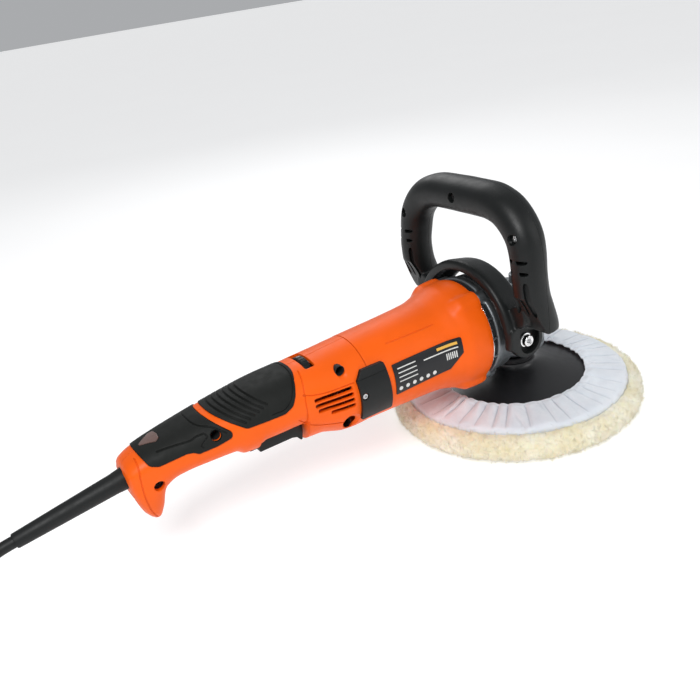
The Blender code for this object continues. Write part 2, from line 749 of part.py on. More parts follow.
def build_motor():
    centre = (0.0, 0.0, AXIS_Z)
    shaft = turned("armature_shaft", [
        (0.0, -26.6), (3.3, -26.6), (3.3, -34.0), (5.0, -34.5), (5.0, -175.0), (4.0, -175.5),
        (4.0, -185.0), (0.0, -185.0),
    ], 16, "X", centre)
    part(shaft, "armature_shaft", "steel")
    core = turned("armature_core", [
        (5.3, -84.0), (11.5, -84.0), (13.8, -86.5), (13.8, -89.5), (18.2, -90.0), (18.2, -138.0),
        (13.8, -138.5), (13.8, -142.0), (11.5, -145.0), (5.3, -145.0),
    ], 20, "X", centre, closed=True)
    part(core, "armature_core", "steel")
    commutator = ring("commutator", 5.3, COMMUTATOR_RADIUS, -174.0, -151.0, 20, "X", centre)
    part(commutator, "commutator", "copper")
    build_fan(centre)
    build_stator()
    build_brushes()


def build_fan(centre):
    fan = turned("cooling_fan", [
        (5.3, -60.5), (9.0, -60.5), (9.5, -63.0), (30.0, -64.0), (30.0, -65.6), (9.5, -66.0),
        (9.0, -75.0), (5.3, -75.0),
    ], 20, "X", centre, closed=True)
    blades = 9
    bm = bmesh.new()
    for index in range(blades):
        angle = 2 * math.pi * index / blades
        turn = Matrix.Translation(scaled((-69.5, 0.0, AXIS_Z))) @ Matrix.Rotation(angle, 4, "X")
        size = Matrix.Diagonal((10.0 * MM, 1.4 * MM, 18.0 * MM, 1.0))
        place = turn @ Matrix.Translation(scaled((0.0, 0.0, 20.0))) @ size
        bmesh.ops.create_cube(bm, size=1.0, matrix=place)
    add(fan, solid_from(bm, "fan_blades"))
    part(fan, "cooling_fan", "black_plastic")


COIL_REACH = 17.4


def build_stator():
    stator = ring("stator_core", 18.8, 30.6, -140.0, -88.0, 24, "X", (0.0, 0.0, AXIS_Z))
    corners = [(y * COIL_REACH, AXIS_Z + z * COIL_REACH) for y in (-1, 1) for z in (-1, 1)]
    cut(stator, rods("coil_slots", [((-150.0, y, z), (-80.0, y, z)) for y, z in corners], 3.5, 12))
    part(stator, "stator_core", "steel")
    for name, up in (("field_coil_upper", 1), ("field_coil_lower", -1)):
        z = AXIS_Z + up * COIL_REACH
        corner = 5.0
        front, rear = -82.5, -145.5
        path = arc((front - corner, COIL_REACH - corner), corner, 90, 0, 3)
        path += arc((front - corner, -COIL_REACH + corner), corner, 0, -90, 3)
        path += arc((rear + corner, -COIL_REACH + corner), corner, -90, -180, 3)
        path += arc((rear + corner, COIL_REACH - corner), corner, 180, 90, 3)
        part(tube(name, [(x, y, z) for x, y in path], 3.0, 1, cyclic=True), name, "copper")


def build_brushes():
    x, z = BRUSH_X, AXIS_Z
    for name, side in (("left", 1), ("right", -1)):
        near, far = side * 14.0, side * 29.5
        low_y, high_y = min(near, far), max(near, far)
        holder = box("brush_holder_" + name, (x - 5.2, low_y, z - 5.9), (x + 5.2, high_y, z + 5.9))
        cut(holder, box(name + "_brush_way", (x - 3.6, low_y - 2, z - 4.3), (x + 3.6, high_y + 2, z + 4.3)))
        part(holder, "brush_holder_" + name, "copper")
        near, far = side * (COMMUTATOR_RADIUS + 0.5), side * 26.0
        low_y, high_y = min(near, far), max(near, far)
        brush = box("carbon_brush_" + name, (x - 3.3, low_y, z - 4.0), (x + 3.3, high_y, z + 4.0))
        part(brush, "carbon_brush_" + name, "carbon")


# Controls and cord

def build_trigger():
    outline = [
        (-262.9, 80.6), (-262.9, 75.6), (-261.0, 73.3), (-230.0, 72.9), (-226.0, 71.8), (-223.2, 68.2),
        (-222.0, 68.4), (-220.6, 74.0), (-220.3, 82.0), (-222.0, 84.0), (-250.0, 84.0), (-258.5, 82.6),
    ]
    trigger = prism("trigger", outline, -17.6, 17.6)
    for side in (-1, 1):
        low, high = min(side * 11.8, side * 30.0), max(side * 11.8, side * 30.0)
        cut(trigger, box("trigger_shoulder%d" % side, (-270.0, low, 60.0), (-256.2, high, 90.0)))
    ends = [(TRIGGER_X, y, TRIGGER_Z) for y in (-15.8, 15.8)]
    add(trigger, rod("trigger_pivots", ends[0], ends[1], 2.0, sides=12))
    trigger = part(trigger, "trigger", "black_plastic")
    place_origin(trigger, (TRIGGER_X, 0.0, TRIGGER_Z))


def place_origin(thing, point):
    """Moves the object's origin onto its joint's axis and leaves its shape where it is."""
    point = scaled(point)
    thing.data.transform(Matrix.Translation(-point))
    thing.location = point


def build_controls():
    build_trigger()
    button = rod("lock_on_button", (-226.0, 20.0, 93.0), (-226.0, 31.0, 93.0), 4.9)
    place_origin(part(button, "lock_on_button", "black_plastic"), (-226.0, 20.0, 93.0))
    switch = rounded_box("switch_body", (-256.0, -9.5, 90.0), (-233.0, 9.5, 110.0), 1.2)
    part(switch, "switch_body", "black_plastic")
    dial_z = 107.0
    dial = turned("speed_dial", [
        (0.0, 3.0), (14.6, 3.0), (15.4, 2.2), (15.4, -2.2), (14.6, -3.0), (2.5, -3.0), (2.5, -7.0),
        (0.0, -7.0),
    ], 24, "X", (-203.5, 0.0, dial_z))
    part(dial, "speed_dial", "black_plastic")
    board = box("speed_control_board", (-216.0, -12.0, 94.0), (-214.4, 12.0, 114.5))
    add(board, rod("potentiometer", (-215.0, 0, dial_z), (-208.6, 0, dial_z), 7.5))
    cut(board, rod("potentiometer_bore", (-212.0, 0, dial_z), (-200.0, 0, dial_z), 2.9, sides=12))
    part(board, "speed_control_board", "black_plastic")


def build_cord():
    bore, tip = 4.5, 5.3
    guard_profile = [
        (GUARD_RADIUS, 0.0), (GUARD_RADIUS, -10.0), (GUARD_RADIUS - 0.5, -14.0), (6.1, -55.0),
        (tip, -GUARD_LENGTH), (bore, -GUARD_LENGTH), (bore, 0.0),
    ]
    guard = turned("cord_guard", guard_profile, 16, closed=True, place=CORD_EXIT)
    guard.rotation_euler = (0.0, math.radians(90) - CORD_SLOPE, 0.0)
    part(guard, "cord_guard", "cable_rubber")
    start, end = -16.0, GUARD_LENGTH + 4.0
    path = [tuple(cord_point(start)), tuple(cord_point(end))]
    for step in range(1, 6):
        reach = step * 8.0
        path.append(tuple(cord_point(end + reach, -0.006 * reach ** 2)))
    part(tube("power_cable", path, 4.1, 2), "power_cable", "cable_rubber")


# Spindle, backing plate, pad and bonnet

def build_spindle_group():
    spindle = turned("spindle", [
        (0.0, 106.2), (4.5, 106.2), (4.5, 95.0), (7.9, 94.5), (7.9, 70.4), (8.1, 70.2), (8.1, 49.3),
        (6.8, 49.3), (6.8, 26.0), (0.0, 26.0),
    ], 24)
    part(spindle, "spindle", "steel")
    build_crown_gear()
    plate = turned("backing_plate", [
        (0.0, 24.0), (7.1, 24.0), (7.1, 49.0), (18.5, 49.0), (18.5, 42.0), (22.0, 38.8), (34.0, 34.4),
        (62.0, 27.9), (PLATE_RADIUS, 22.0), (PLATE_RADIUS, 18.7), (0.0, 18.7),
    ], 32)
    part(plate, "backing_plate", "glossy_black")
    pad = turned("foam_pad", [
        (0.0, 18.4), (88.5, 18.4), (90.0, 16.0), (90.0, 11.5), (88.5, 9.9), (0.0, 9.9),
    ], 32)
    part(pad, "foam_pad", "foam")
    fabric = turned("bonnet_fabric", [
        (0.0, 9.6), (90.6, 9.6), (95.0, 15.5), (94.6, 23.4), (90.5, 25.6), (62.3, 28.9),
        (62.3, 30.4), (92.0, 27.0), (96.2, 24.8), (96.7, 15.0), (92.0, 8.5), (0.0, 8.5),
    ], 32)
    part(fabric, "bonnet_fabric", "white_fabric")
    wool = turned("wool_bonnet", [
        (0.0, 8.2), (92.3, 8.2), (97.1, 14.8), (96.8, 25.0), (101.5, 25.4), (106.8, 21.0),
        (BONNET_RADIUS, 14.0), (109.0, 7.0), (104.0, 2.0), (96.0, 0.0), (0.0, 0.0),
    ], 32)
    part(wool, "wool_bonnet", "wool")


# Loop handle

LOOP_RADIUS = 12.0
LOOP_STRETCH = 1.17
LOOP_WALL = 3.0
LOOP_CORNER = 40.0
LOOP_FOOT_Z = 103.0
LOOP_BAR_X = -37.0
# One leg from its foot up: distance from the middle, z, x and size
LOOP_LEG = [
    (68.6, 94.0, -33.0, 1.14), (69.0, 108.0, -34.0, 1.12), (69.4, 122.0, -37.0, 1.04),
    (69.2, 136.0, -40.0, 0.99), (68.6, 149.0, -40.7, 0.98),
]
# Screws of the loop: y, z and the front end of the boss that each one bites into
LOOP_SCREWS = {"left": (65.0, 178.5, -29.0), "middle": (0.0, 200.0, -23.5), "right": (-65.0, 178.5, -29.0)}
SCREW_SEAT_X = -47.0
CHEEK_OUTLINE = [
    (-52.0, 104.0), (-52.0, 88.0), (-44.0, 78.6), (-37.0, 75.4), (-29.5, 75.4),
    (-22.4, 79.2), (-18.8, 86.0), (-19.2, 95.0), (-23.0, 104.0),
]
RECESS_RADIUS = 10.0
RECESS_FLOOR = 52.4


def loop_path():
    """One side of the loop from its foot up to the middle, as (y, z, x, size)."""
    leg = [(-y, z, x, size) for y, z, x, size in LOOP_LEG]
    centre = (-LOOP_LEG_Y + LOOP_CORNER, LOOP_BAR_Z - LOOP_CORNER)
    corner = []
    for index, (y, z) in enumerate(arc(centre, LOOP_CORNER, 180, 90, 5)):
        corner.append((y, z, -39.8 + 0.7 * index, 1.0 + 0.03 * index))
    return leg + corner + [(-15.0, LOOP_BAR_Z + 0.2, LOOP_BAR_X, 1.12)]


def loop_form(name, shrink=0.0):
    half = loop_path()
    other_half = [(-y, z, x, size) for y, z, x, size in reversed(half)]
    full = half + [(0.0, LOOP_BAR_Z + 0.3, LOOP_BAR_X, 1.13)] + other_half
    points = [((x / LOOP_STRETCH), y, z) for y, z, x, _ in full]
    radii = [size - shrink / LOOP_RADIUS for _, _, _, size in full]
    form = tube(name, points, LOOP_RADIUS, 1, radii=radii)
    form.data.transform(Matrix.Diagonal((LOOP_STRETCH, 1.0, 1.0, 1.0)))
    return form


def arch_form(name, spread):
    """Saddle over the gear case with a cheek and a leg's root on each side, grown by spread."""
    rear_x, front_x = -52.5 - spread, -29.0 + spread
    saddle = turned(name, [
        (ARCH_INNER - spread, front_x), (ARCH_FRONT + spread, front_x), (ARCH_OUTER + spread, -47.0),
        (ARCH_OUTER - 1.2 + spread, rear_x), (ARCH_INNER - spread, rear_x),
    ], 28, "X", (0.0, 0.0, AXIS_Z), closed=True)
    keep(saddle, box(name + "_upper", (-60.0, -70.0, PIVOT_Z - 3.0), (0.0, 70.0, 160.0)))
    for side in (-1, 1):
        inner, outer = side * (ARCH_INNER - spread), side * (ARCH_OUTER + 0.4 + spread)
        low, high = min(inner, outer), max(inner, outer)
        add(saddle, prism("%s_cheek%d" % (name, side), grown(CHEEK_OUTLINE, spread), low, high))
        y, z = side * 58.0, 113.0
        root = rod("%s_root%d" % (name, side), (-46 - spread, y, z), (-26 + spread, y, z), 9 + spread)
        add(saddle, root)
    return saddle


# Rear of a leg's foot, scooped forwards clear of the bolt's recess: x and z
FOOT_SCOOP = [
    (-70.0, 90.0), (-37.6, 90.0), (-38.5, 103.0), (-43.0, 106.0), (-46.0, 110.0), (-48.6, 118.0),
    (-51.0, 126.0), (-53.2, 134.0), (-70.0, 134.0),
]


def foot_scoop(name, side):
    near, far = side * (ARCH_OUTER + 0.9), side * 95.0
    return prism(name, FOOT_SCOOP, min(near, far), max(near, far))


def build_loop_handle():
    rear = loop_form("d_handle_rear_shell")
    rear_x, front_x = LOOP_SEAM_X - GAP / 2, LOOP_SEAM_X + GAP / 2
    keep(rear, box("rear_half", (-80.0, -100.0, LOOP_FOOT_Z), (rear_x, 100.0, 240.0)))
    hollow = loop_form("rear_hollow", LOOP_WALL)
    cut(rear, keep(hollow, box("hollow_limit", (-80.0, -100.0, 128.0), (0.0, 100.0, 240.0))))
    add(rear, arch_form("rear_arch", 0.0))
    front = loop_form("d_handle_front_shell")
    keep(front, box("front_half", (front_x, -100.0, LOOP_FOOT_Z), (40.0, 100.0, 240.0)))
    cut(front, loop_form("front_hollow", LOOP_WALL))
    cut(front, arch_form("front_arch_room", GAP))
    for key, (y, z, end) in LOOP_SCREWS.items():
        add(rear, rod(key + "_rear_boss", (SCREW_SEAT_X - 3.0, y, z), (rear_x, y, z), 5.6, sides=12))
        add(front, rod(key + "_front_boss", (front_x, y, z), (end, y, z), 4.6, sides=12))
        cut(rear, rod(key + "_head_bore", (-70.0, y, z), (SCREW_SEAT_X, y, z), 3.8, sides=12))
        cut(rear, rod(key + "_rear_hole", (-50.0, y, z), (0.0, y, z), 1.9, sides=12))
        cut(front, rod(key + "_front_hole", (-50.0, y, z), (end - 1.5, y, z), 1.9, sides=12))
        build_loop_screw(key, y, z, end - 2.0)
    for side in (-1, 1):
        outline = arc((PIVOT_X, PIVOT_Z), RECESS_RADIUS, 180, 360, 9)
        outline += [(PIVOT_X + RECESS_RADIUS, 95.4), (PIVOT_X - RECESS_RADIUS, 102.4)]
        floor, outside = side * RECESS_FLOOR, side * 82.0
        cut(rear, prism("bolt_recess%d" % side, outline, min(floor, outside), max(floor, outside)))
        cut(rear, foot_scoop("foot_scoop%d" % side, side))
    cut(rear, pivot_rods("bolt_ways", 40.0, 60.0, 3.7, 12))
    pivot = (PIVOT_X, 0.0, PIVOT_Z)
    place_origin(part(rear, "d_handle_rear_shell", "black_plastic"), pivot)
    place_origin(part(front, "d_handle_front_shell", "black_plastic"), pivot)
    build_bolts()


def build_loop_screw(key, y, z, tip):
    seat = SCREW_SEAT_X - GAP
    screw = rod("d_handle_screw_" + key, (seat, y, z), (seat - 2.5, y, z), 3.3, 2.6, sides=10)
    add(screw, rod(key + "_thread", (seat - 0.5, y, z), (tip, y, z), 1.5, sides=6))
    cut(screw, rod(key + "_drive", (seat - 1.2, y, z), (seat - 5.0, y, z), 1.5, sides=6))
    place_origin(part(screw, "d_handle_screw_" + key, "steel"), (PIVOT_X, 0.0, PIVOT_Z))


def build_bolts():
    for name, side in (("left", 1), ("right", -1)):
        def at(distance):
            return (PIVOT_X, side * distance, PIVOT_Z)

        bolt = rod("handle_bolt_" + name, at(52.7), at(53.9), 5.8, sides=14)
        add(bolt, rod(name + "_head", at(53.0), at(57.2), 4.6, sides=14))
        add(bolt, rod(name + "_bolt_shank", at(53.0), at(35.0), 3.3, sides=12))
        cut(bolt, rod(name + "_hex", at(54.6), at(60.0), 2.6, sides=6))
        part(bolt, "handle_bolt_" + name, "steel")


# Spindle lock

def build_spindle_lock():
    button = rod("spindle_lock_button", (LOCK_X, 0, 113.0), (LOCK_X, 0, 121.0), 5.8)
    add(button, rod("lock_pin", (LOCK_X, 0, 81.4), (LOCK_X, 0, 114.0), 2.1, sides=12))
    place_origin(part(button, "spindle_lock_button", "black_plastic"), (LOCK_X, 0.0, AXIS_Z))
    turns, steps_per_turn, coil_radius = 3, 6, 4.2
    count = turns * steps_per_turn
    path = []
    for index in range(count + 1):
        angle = 2 * math.pi * index / steps_per_turn
        z = 107.0 + 5.2 * index / count
        path.append((LOCK_X + coil_radius * math.cos(angle), coil_radius * math.sin(angle), z))
    spring = part(tube("spindle_lock_spring", path, 0.5, 1), "spindle_lock_spring", "steel")
    place_origin(spring, (LOCK_X, 0.0, AXIS_Z))


def main():
    clear_scene()
    make_collection(PARTS)
    make_collection(CUTTERS)
    build_handle_shells()
    build_shell_screws()
    build_grips()
    build_motor_housing()
    build_brush_covers()
    build_label()
    build_gearbox_housing()
    build_gearbox_cover()
    build_gearbox_screws()
    build_exhaust_ring()
    build_bearings()
    build_motor()
    build_pinion()
    build_spindle_group()
    build_controls()
    build_cord()
    build_loop_handle()
    build_spindle_lock()


main()
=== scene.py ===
"""Looks of a rotary polisher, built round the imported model.

Lengths are in millimetres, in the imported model's frame: the origin is on the spindle's axis at the
pad's working face, +X points to the head, +Z up. mesh_object() turns them into metres.
"""

import math

import bmesh
import bpy
import numpy as np
from mathutils import Matrix, Vector


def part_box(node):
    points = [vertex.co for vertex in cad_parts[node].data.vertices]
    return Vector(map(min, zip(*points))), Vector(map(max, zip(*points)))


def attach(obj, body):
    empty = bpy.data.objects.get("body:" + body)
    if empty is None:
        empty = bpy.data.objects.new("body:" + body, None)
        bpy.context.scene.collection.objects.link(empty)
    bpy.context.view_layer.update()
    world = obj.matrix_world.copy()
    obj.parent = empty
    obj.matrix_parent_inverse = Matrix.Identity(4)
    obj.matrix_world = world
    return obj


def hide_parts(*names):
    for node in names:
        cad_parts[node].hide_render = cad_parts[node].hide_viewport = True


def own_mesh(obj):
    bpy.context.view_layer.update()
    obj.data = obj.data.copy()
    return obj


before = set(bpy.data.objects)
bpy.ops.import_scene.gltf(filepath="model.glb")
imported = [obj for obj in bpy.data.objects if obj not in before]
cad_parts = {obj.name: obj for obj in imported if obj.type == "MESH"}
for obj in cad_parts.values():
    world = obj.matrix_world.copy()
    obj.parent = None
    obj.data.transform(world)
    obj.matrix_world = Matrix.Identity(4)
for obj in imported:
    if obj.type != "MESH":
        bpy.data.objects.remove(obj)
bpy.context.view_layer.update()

MM = 0.001
GAP = 0.3
AXIS_Z = 90.0
BODY = "body"
SIDES = (-1, 1)

# Handle sections from front to tail: x, half width, top, bottom, widest height and lean
HANDLE_SECTIONS = [
    (-165.8, 34.3, 124.2, 55.5, 90.0, 0.0),
    (-177.0, 34.2, 123.6, 55.0, 90.0, 0.0),
    (-188.0, 33.0, 122.8, 56.5, 90.0, 0.0),
    (-199.0, 31.0, 122.0, 60.4, 92.0, 0.0),
    (-206.0, 29.6, 121.6, 62.6, 94.0, 0.0),
    (-218.0, 28.6, 121.0, 63.2, 95.0, 0.0),
    (-219.2, 28.6, 120.9, 78.0, 96.0, 0.0),
    (-236.0, 28.8, 120.0, 78.0, 97.5, 0.0),
    (-251.0, 28.0, 118.9, 78.0, 97.5, 0.0),
    (-257.0, 27.4, 118.3, 73.6, 97.0, 0.0),
    (-266.0, 26.6, 117.3, 74.0, 97.0, 0.0),
    (-273.0, 25.8, 116.4, 78.6, 97.0, 0.0),
    (-286.0, 24.4, 114.8, 79.2, 96.6, 0.0),
    (-302.0, 22.6, 112.2, 79.3, 96.2, -0.04),
    (-315.0, 21.0, 109.9, 78.2, 95.6, -0.10),
    (-326.5, 19.4, 107.4, 73.0, 95.0, -0.18),
    (-336.0, 17.8, 104.6, 57.6, 94.0, -0.22),
    (-341.8, 16.4, 102.0, 50.6, 93.0, -0.20),
    (-346.4, 14.6, 99.2, 53.0, 93.0, -0.18),
]
BARREL_POWER = 2.0
GRIP_POWER = 2.3
BARREL_END_X = -180.0
GRIP_START_X = -206.0
SHELL_WALL = 2.6
CAVITY_END_X = -334.0
TAIL_ROUNDING = 4.0

FRONT_GRIP_OUTLINE = [
    (-285.0, 130.0), (-284.0, 116.2), (-264.5, 101.2), (-236.0, 101.0),
    (-229.0, 103.8), (-225.0, 109.0), (-220.0, 117.0), (-215.5, 121.6), (-215.0, 130.0),
]
REAR_COVER_OUTLINE = [
    (-336.5, 130.0), (-336.0, 107.0), (-332.5, 99.6), (-327.0, 97.6), (-308.0, 99.4),
    (-303.5, 98.6), (-300.0, 96.2), (-287.0, 96.8), (-272.0, 99.8), (-290.0, 116.6), (-291.0, 130.0),
]
BRUSH_COVER_OUTLINE = [(-178.5, 104.0), (-172.5, 110.0), (-153.0, 110.0), (-151.5, 71.0), (-178.5, 71.0)]
LABEL_OUTLINE = [(-147.0, 104.5), (-85.0, 106.0), (-85.5, 94.0), (-97.0, 83.0), (-147.0, 80.0)]
LENS_OUTLINE = [(-333.0, 0.0), (-321.5, -7.5), (-318.8, -5.5), (-318.2, 0.0), (-318.8, 5.5), (-321.5, 7.5)]
GRIP_DEPTH = 1.2
GRIP_PROUD = 0.7

# Shell screws: x, z, then distances from the middle of the head's seat, the handle's surface and the
# end of the dark liner that paints shade into the bore, and the recess's radius outside the handle
SHELL_SCREWS = {
    "upper": (-186.0, 113.0, 13.0, 30.0, 24.6, 11.4),
    "lower": (-186.0, 68.0, 13.0, 26.5, 21.0, 11.4),
    "rear": (-286.0, 104.0, 11.0, 22.0, 21.3, 3.8),
    "tail": (-330.0, 82.0, 9.0, 17.0, 12.6, 5.4),
}
BORE_RADIUS = 3.9
HEAD_RADIUS = 3.3

BARREL_REAR_X = -165.3
HOUSING_FRONT_X = -57.6
HOUSING_PROFILE = [
    (43.5, HOUSING_FRONT_X), (44.0, -61.0), (43.3, -74.0), (40.6, -84.0),
    (37.6, -96.0), (36.1, -118.0), (34.4, BARREL_REAR_X),
]
HOUSING_WALL = 3.0
BRUSH_X, BRUSH_OPENING = -163.0, 7.5
LUG_ANGLES = (36, -36, 144, -144)
LUG_CIRCLE = 40.5
LUG_RADIUS = 5.5
LUG_FRONT_X = -45.4
CASE_RADIUS, CASE_BOTTOM_Z, CHAMBER_RADIUS = 27.8, 61.2, 25.7

TRIGGER_X, TRIGGER_Z = -260.0, 79.0
DIAL_X, DIAL_Z, DIAL_RADIUS = -203.5, 107.0, 15.4
LOCK_X = 13.2
LOCK_ON = (-226.0, 93.0)
CORD_EXIT = np.array([-338.8, 0.0, 89.9])
CORD_SLOPE = math.radians(7.7)
GUARD_LENGTH = 85.0
GUARD_RADIUS = 7.7

PIVOT_X, PIVOT_Z = -33.0, 88.5
ARCH_INNER, ARCH_OUTER, ARCH_FRONT = 50.0, 57.5, 53.4
ARCH_LIP = 45.0
LOOP_SEAM_X = -36.0
LOOP_RADIUS = 12.0
LOOP_STRETCH = 1.17
LOOP_FOOT_Z = 103.0
# One side of the loop from its foot to the middle of the bar: y, z, x and size
LOOP_SIDE = [
    (68.6, 94.0, -33.0, 1.14), (69.0, 108.0, -34.0, 1.12), (69.4, 122.0, -37.0, 1.04),
    (69.2, 136.0, -40.0, 0.99), (68.6, 149.0, -40.7, 0.98), (67.3, 160.5, -39.8, 1.0),
    (64.5, 173.8, -39.1, 1.03), (55.8, 186.8, -38.4, 1.06), (42.8, 195.5, -37.7, 1.09),
    (27.5, 198.5, -37.0, 1.12), (13.0, 198.7, -37.0, 1.12),
]
LOOP_SCREWS = [(65.0, 178.5), (0.0, 200.0), (-65.0, 178.5)]
SCREW_SEAT_X = -47.0
CHEEK_OUTLINE = [
    (-52.0, 104.0), (-52.0, 88.0), (-44.0, 78.6), (-37.0, 75.4), (-29.5, 75.4),
    (-22.4, 79.2), (-18.8, 86.0), (-19.2, 95.0), (-23.0, 104.0),
]
# Rear of a leg's foot, scooped forwards clear of the bolt's recess: x and z
FOOT_SCOOP = [
    (-70.0, 90.0), (-36.6, 90.0), (-37.0, 103.0), (-40.6, 110.0), (-44.2, 118.0), (-47.6, 126.0),
    (-52.0, 134.0), (-70.0, 134.0),
]
RECESS_RADIUS = 10.0
RECESS_FLOOR = 52.4

PLATE_RADIUS = 88.5


# Mesh helpers

def mesh_object(name, points, faces):
    """An object in the scene from points in millimetres."""
    mesh = bpy.data.meshes.new(name)
    mesh.from_pydata((np.asarray(points, dtype=float) * MM).tolist(), [], faces)
    thing = bpy.data.objects.new(name, mesh)
    bpy.context.scene.collection.objects.link(thing)
    return thing


def solid(name, points, faces):
    """A closed mesh object whose faces all point outwards."""
    thing = mesh_object(name, points, faces)
    bm = bmesh.new()
    bm.from_mesh(thing.data)
    bmesh.ops.recalc_face_normals(bm, faces=bm.faces[:])
    bm.to_mesh(thing.data)
    bm.free()
    return thing


def ring_faces(rows, around, loop=False):
    """Four-sided faces between neighbouring rings of points."""
    faces = []
    for i in range(rows if loop else rows - 1):
        here, there = i * around, (i + 1) % rows * around
        for j in range(around):
            k = (j + 1) % around
            faces.append((here + j, here + k, there + k, there + j))
    return faces


def skin(name, rings, loop=False):
    """A closed surface through rings of points, capped at its ends or joined into a loop."""
    rings = np.asarray(rings)
    count, around = rings.shape[:2]
    faces = ring_faces(count, around, loop)
    if not loop:
        faces.append(tuple(range(around)))
        faces.append(tuple(range((count - 1) * around, count * around)))
    return solid(name, rings.reshape(-1, 3), faces)


def turned_rings(profile, steps, along="Z", centre=(0.0, 0.0, 0.0)):
    """Rings of a profile of (radius, height) points turned about Z or X."""
    profile = np.asarray(profile, dtype=float)
    radius, height = np.maximum(profile[:, :1], 0.02), profile[:, 1:]
    angle = np.linspace(0.0, 2 * math.pi, steps, endpoint=False)[None]
    across, up = radius * np.sin(angle), radius * np.cos(angle)
    level = height + 0.0 * angle
    order = (level, across, up) if along == "X" else (across, up, level)
    return np.stack(order, axis=-1) + np.asarray(centre)


def turned(name, profile, steps=128, along="Z", centre=(0.0, 0.0, 0.0), loop=False):
    return skin(name, turned_rings(profile, steps, along, centre), loop)


def rod(name, start, end, radius, end_radius=None, steps=48):
    """A cylinder or cone between two points."""
    start, end = Vector(start), Vector(end)
    turn = (end - start).to_track_quat("Z", "Y").to_matrix()
    rings = []
    for place, size in ((start, radius), (end, radius if end_radius is None else end_radius)):
        ring = []
        for index in range(steps):
            angle = 2 * math.pi * index / steps
            ring.append(tuple(place + turn @ Vector((math.cos(angle), math.sin(angle), 0.0)) * size))
        rings.append(ring)
    return skin(name, rings)


def prism(name, outline, low, high, along="Y"):
    """A flat outline of (x, z) points carried along Y, or of (x, y) points carried along Z."""
    outline = np.asarray(outline, dtype=float)
    rings = []
    for level in (low, high):
        flat = np.full(len(outline), float(level))
        columns = (outline[:, 0], flat, outline[:, 1]) if along == "Y" else (*outline.T, flat)
        rings.append(np.stack(columns, axis=-1))
    return skin(name, rings)


def box(name, low, high):
    (x0, y0, z0), (x1, y1, z1) = low, high
    return prism(name, [(x0, z0), (x1, z0), (x1, z1), (x0, z1)], y0, y1)


def rounded(outline, radius, steps=6):
    """The outline with each corner turned into an arc of about this radius."""
    points = []
    count = len(outline)
    for i in range(count):
        here = Vector(outline[i])
        back = Vector(outline[i - 1]) - here
        ahead = Vector(outline[(i + 1) % count]) - here
        half = back.angle(ahead) / 2
        reach = min(radius / math.tan(half), back.length * 0.45, ahead.length * 0.45)
        size = reach * math.tan(half)
        start = here + back.normalized() * reach
        end = here + ahead.normalized() * reach
        centre = here + (back.normalized() + ahead.normalized()).normalized() * (size / math.sin(half))
        first = math.atan2(start.y - centre.y, start.x - centre.x)
        sweep = (math.atan2(end.y - centre.y, end.x - centre.x) - first + math.pi) % (2 * math.pi) - math.pi
        for step in range(steps + 1):
            angle = first + sweep * step / steps
            points.append((centre.x + size * math.cos(angle), centre.y + size * math.sin(angle)))
    return points


def offset_line(points, amount):
    """Points of a line moved sideways by an amount."""
    points = np.asarray(points, dtype=float)
    along = np.gradient(points, axis=0)
    along /= np.linalg.norm(along, axis=1)[:, None]
    return points + np.stack([-along[:, 1], along[:, 0]], axis=-1) * amount


def ribbon(points, width):
    """A closed outline of a band along a line."""
    return np.concatenate([offset_line(points, width / 2), offset_line(points, -width / 2)[::-1]])


def grown(outline, amount):
    """The outline moved outwards by an amount."""
    outline = np.asarray(outline, dtype=float)
    after = np.roll(outline, -1, axis=0)
    area = np.sum(outline[:, 0] * after[:, 1] - after[:, 0] * outline[:, 1])
    edge = after - outline
    edge /= np.linalg.norm(edge, axis=1)[:, None]
    normal = np.stack([edge[:, 1], -edge[:, 0]], axis=-1) * np.sign(area)
    middle = normal + np.roll(normal, 1, axis=0)
    middle /= np.linalg.norm(middle, axis=1)[:, None]
    share = np.maximum(np.sum(middle * normal, axis=1), 0.5)
    return outline + middle * (amount / share)[:, None]


def smooth_between(keys, values, at):
    """Values at points between rising keys, smooth and without overshoot."""
    keys, values = np.asarray(keys, dtype=float), np.asarray(values, dtype=float)
    width = np.diff(keys)[:, None]
    slope = np.diff(values, axis=0) / width
    turn = np.zeros_like(values)
    turn[0], turn[-1] = slope[0], slope[-1]
    before, after = slope[:-1], slope[1:]
    near, far = 2 * width[1:] + width[:-1], width[1:] + 2 * width[:-1]
    with np.errstate(divide="ignore", invalid="ignore"):
        mean = (near + far) / (near / before + far / after)
    turn[1:-1] = np.where(before * after > 0, mean, 0.0)
    index = np.clip(np.searchsorted(keys, at) - 1, 0, len(width) - 1)
    span = width[index]
    t = (np.asarray(at)[:, None] - keys[index][:, None]) / span
    rise = values[index + 1] - values[index]
    blend = values[index] + rise * (3 * t**2 - 2 * t**3)
    return blend + span * (turn[index] * (t**3 - 2 * t**2 + t) + turn[index + 1] * (t**3 - t**2))


def arc(centre, radius, start, end, count):
    angle = np.radians(np.linspace(start, end, count))
    return [(centre[0] + radius * math.cos(a), centre[1] + radius * math.sin(a)) for a in angle]


# Object helpers

def baked(thing):
    """Applies an object's modifiers."""
    bpy.context.view_layer.update()
    seen = thing.evaluated_get(bpy.context.evaluated_depsgraph_get())
    mesh = bpy.data.meshes.new_from_object(seen)
    thing.modifiers.clear()
    thing.data = mesh
    return thing


def combine(thing, others, operation, solver="MANIFOLD"):
    for other in others:
        modifier = thing.modifiers.new("shape", "BOOLEAN")
        modifier.operation = operation
        modifier.solver = solver
        modifier.object = other
        baked(thing)
        bpy.data.objects.remove(other)
    return thing


def cut(thing, *others):
    return combine(thing, others, "DIFFERENCE")


def add(thing, *others):
    return combine(thing, others, "UNION")


def keep(thing, *others):
    return combine(thing, others, "INTERSECT")


def copied(thing, name):
    twin = bpy.data.objects.new(name, thing.data.copy())
    bpy.context.scene.collection.objects.link(twin)
    return twin


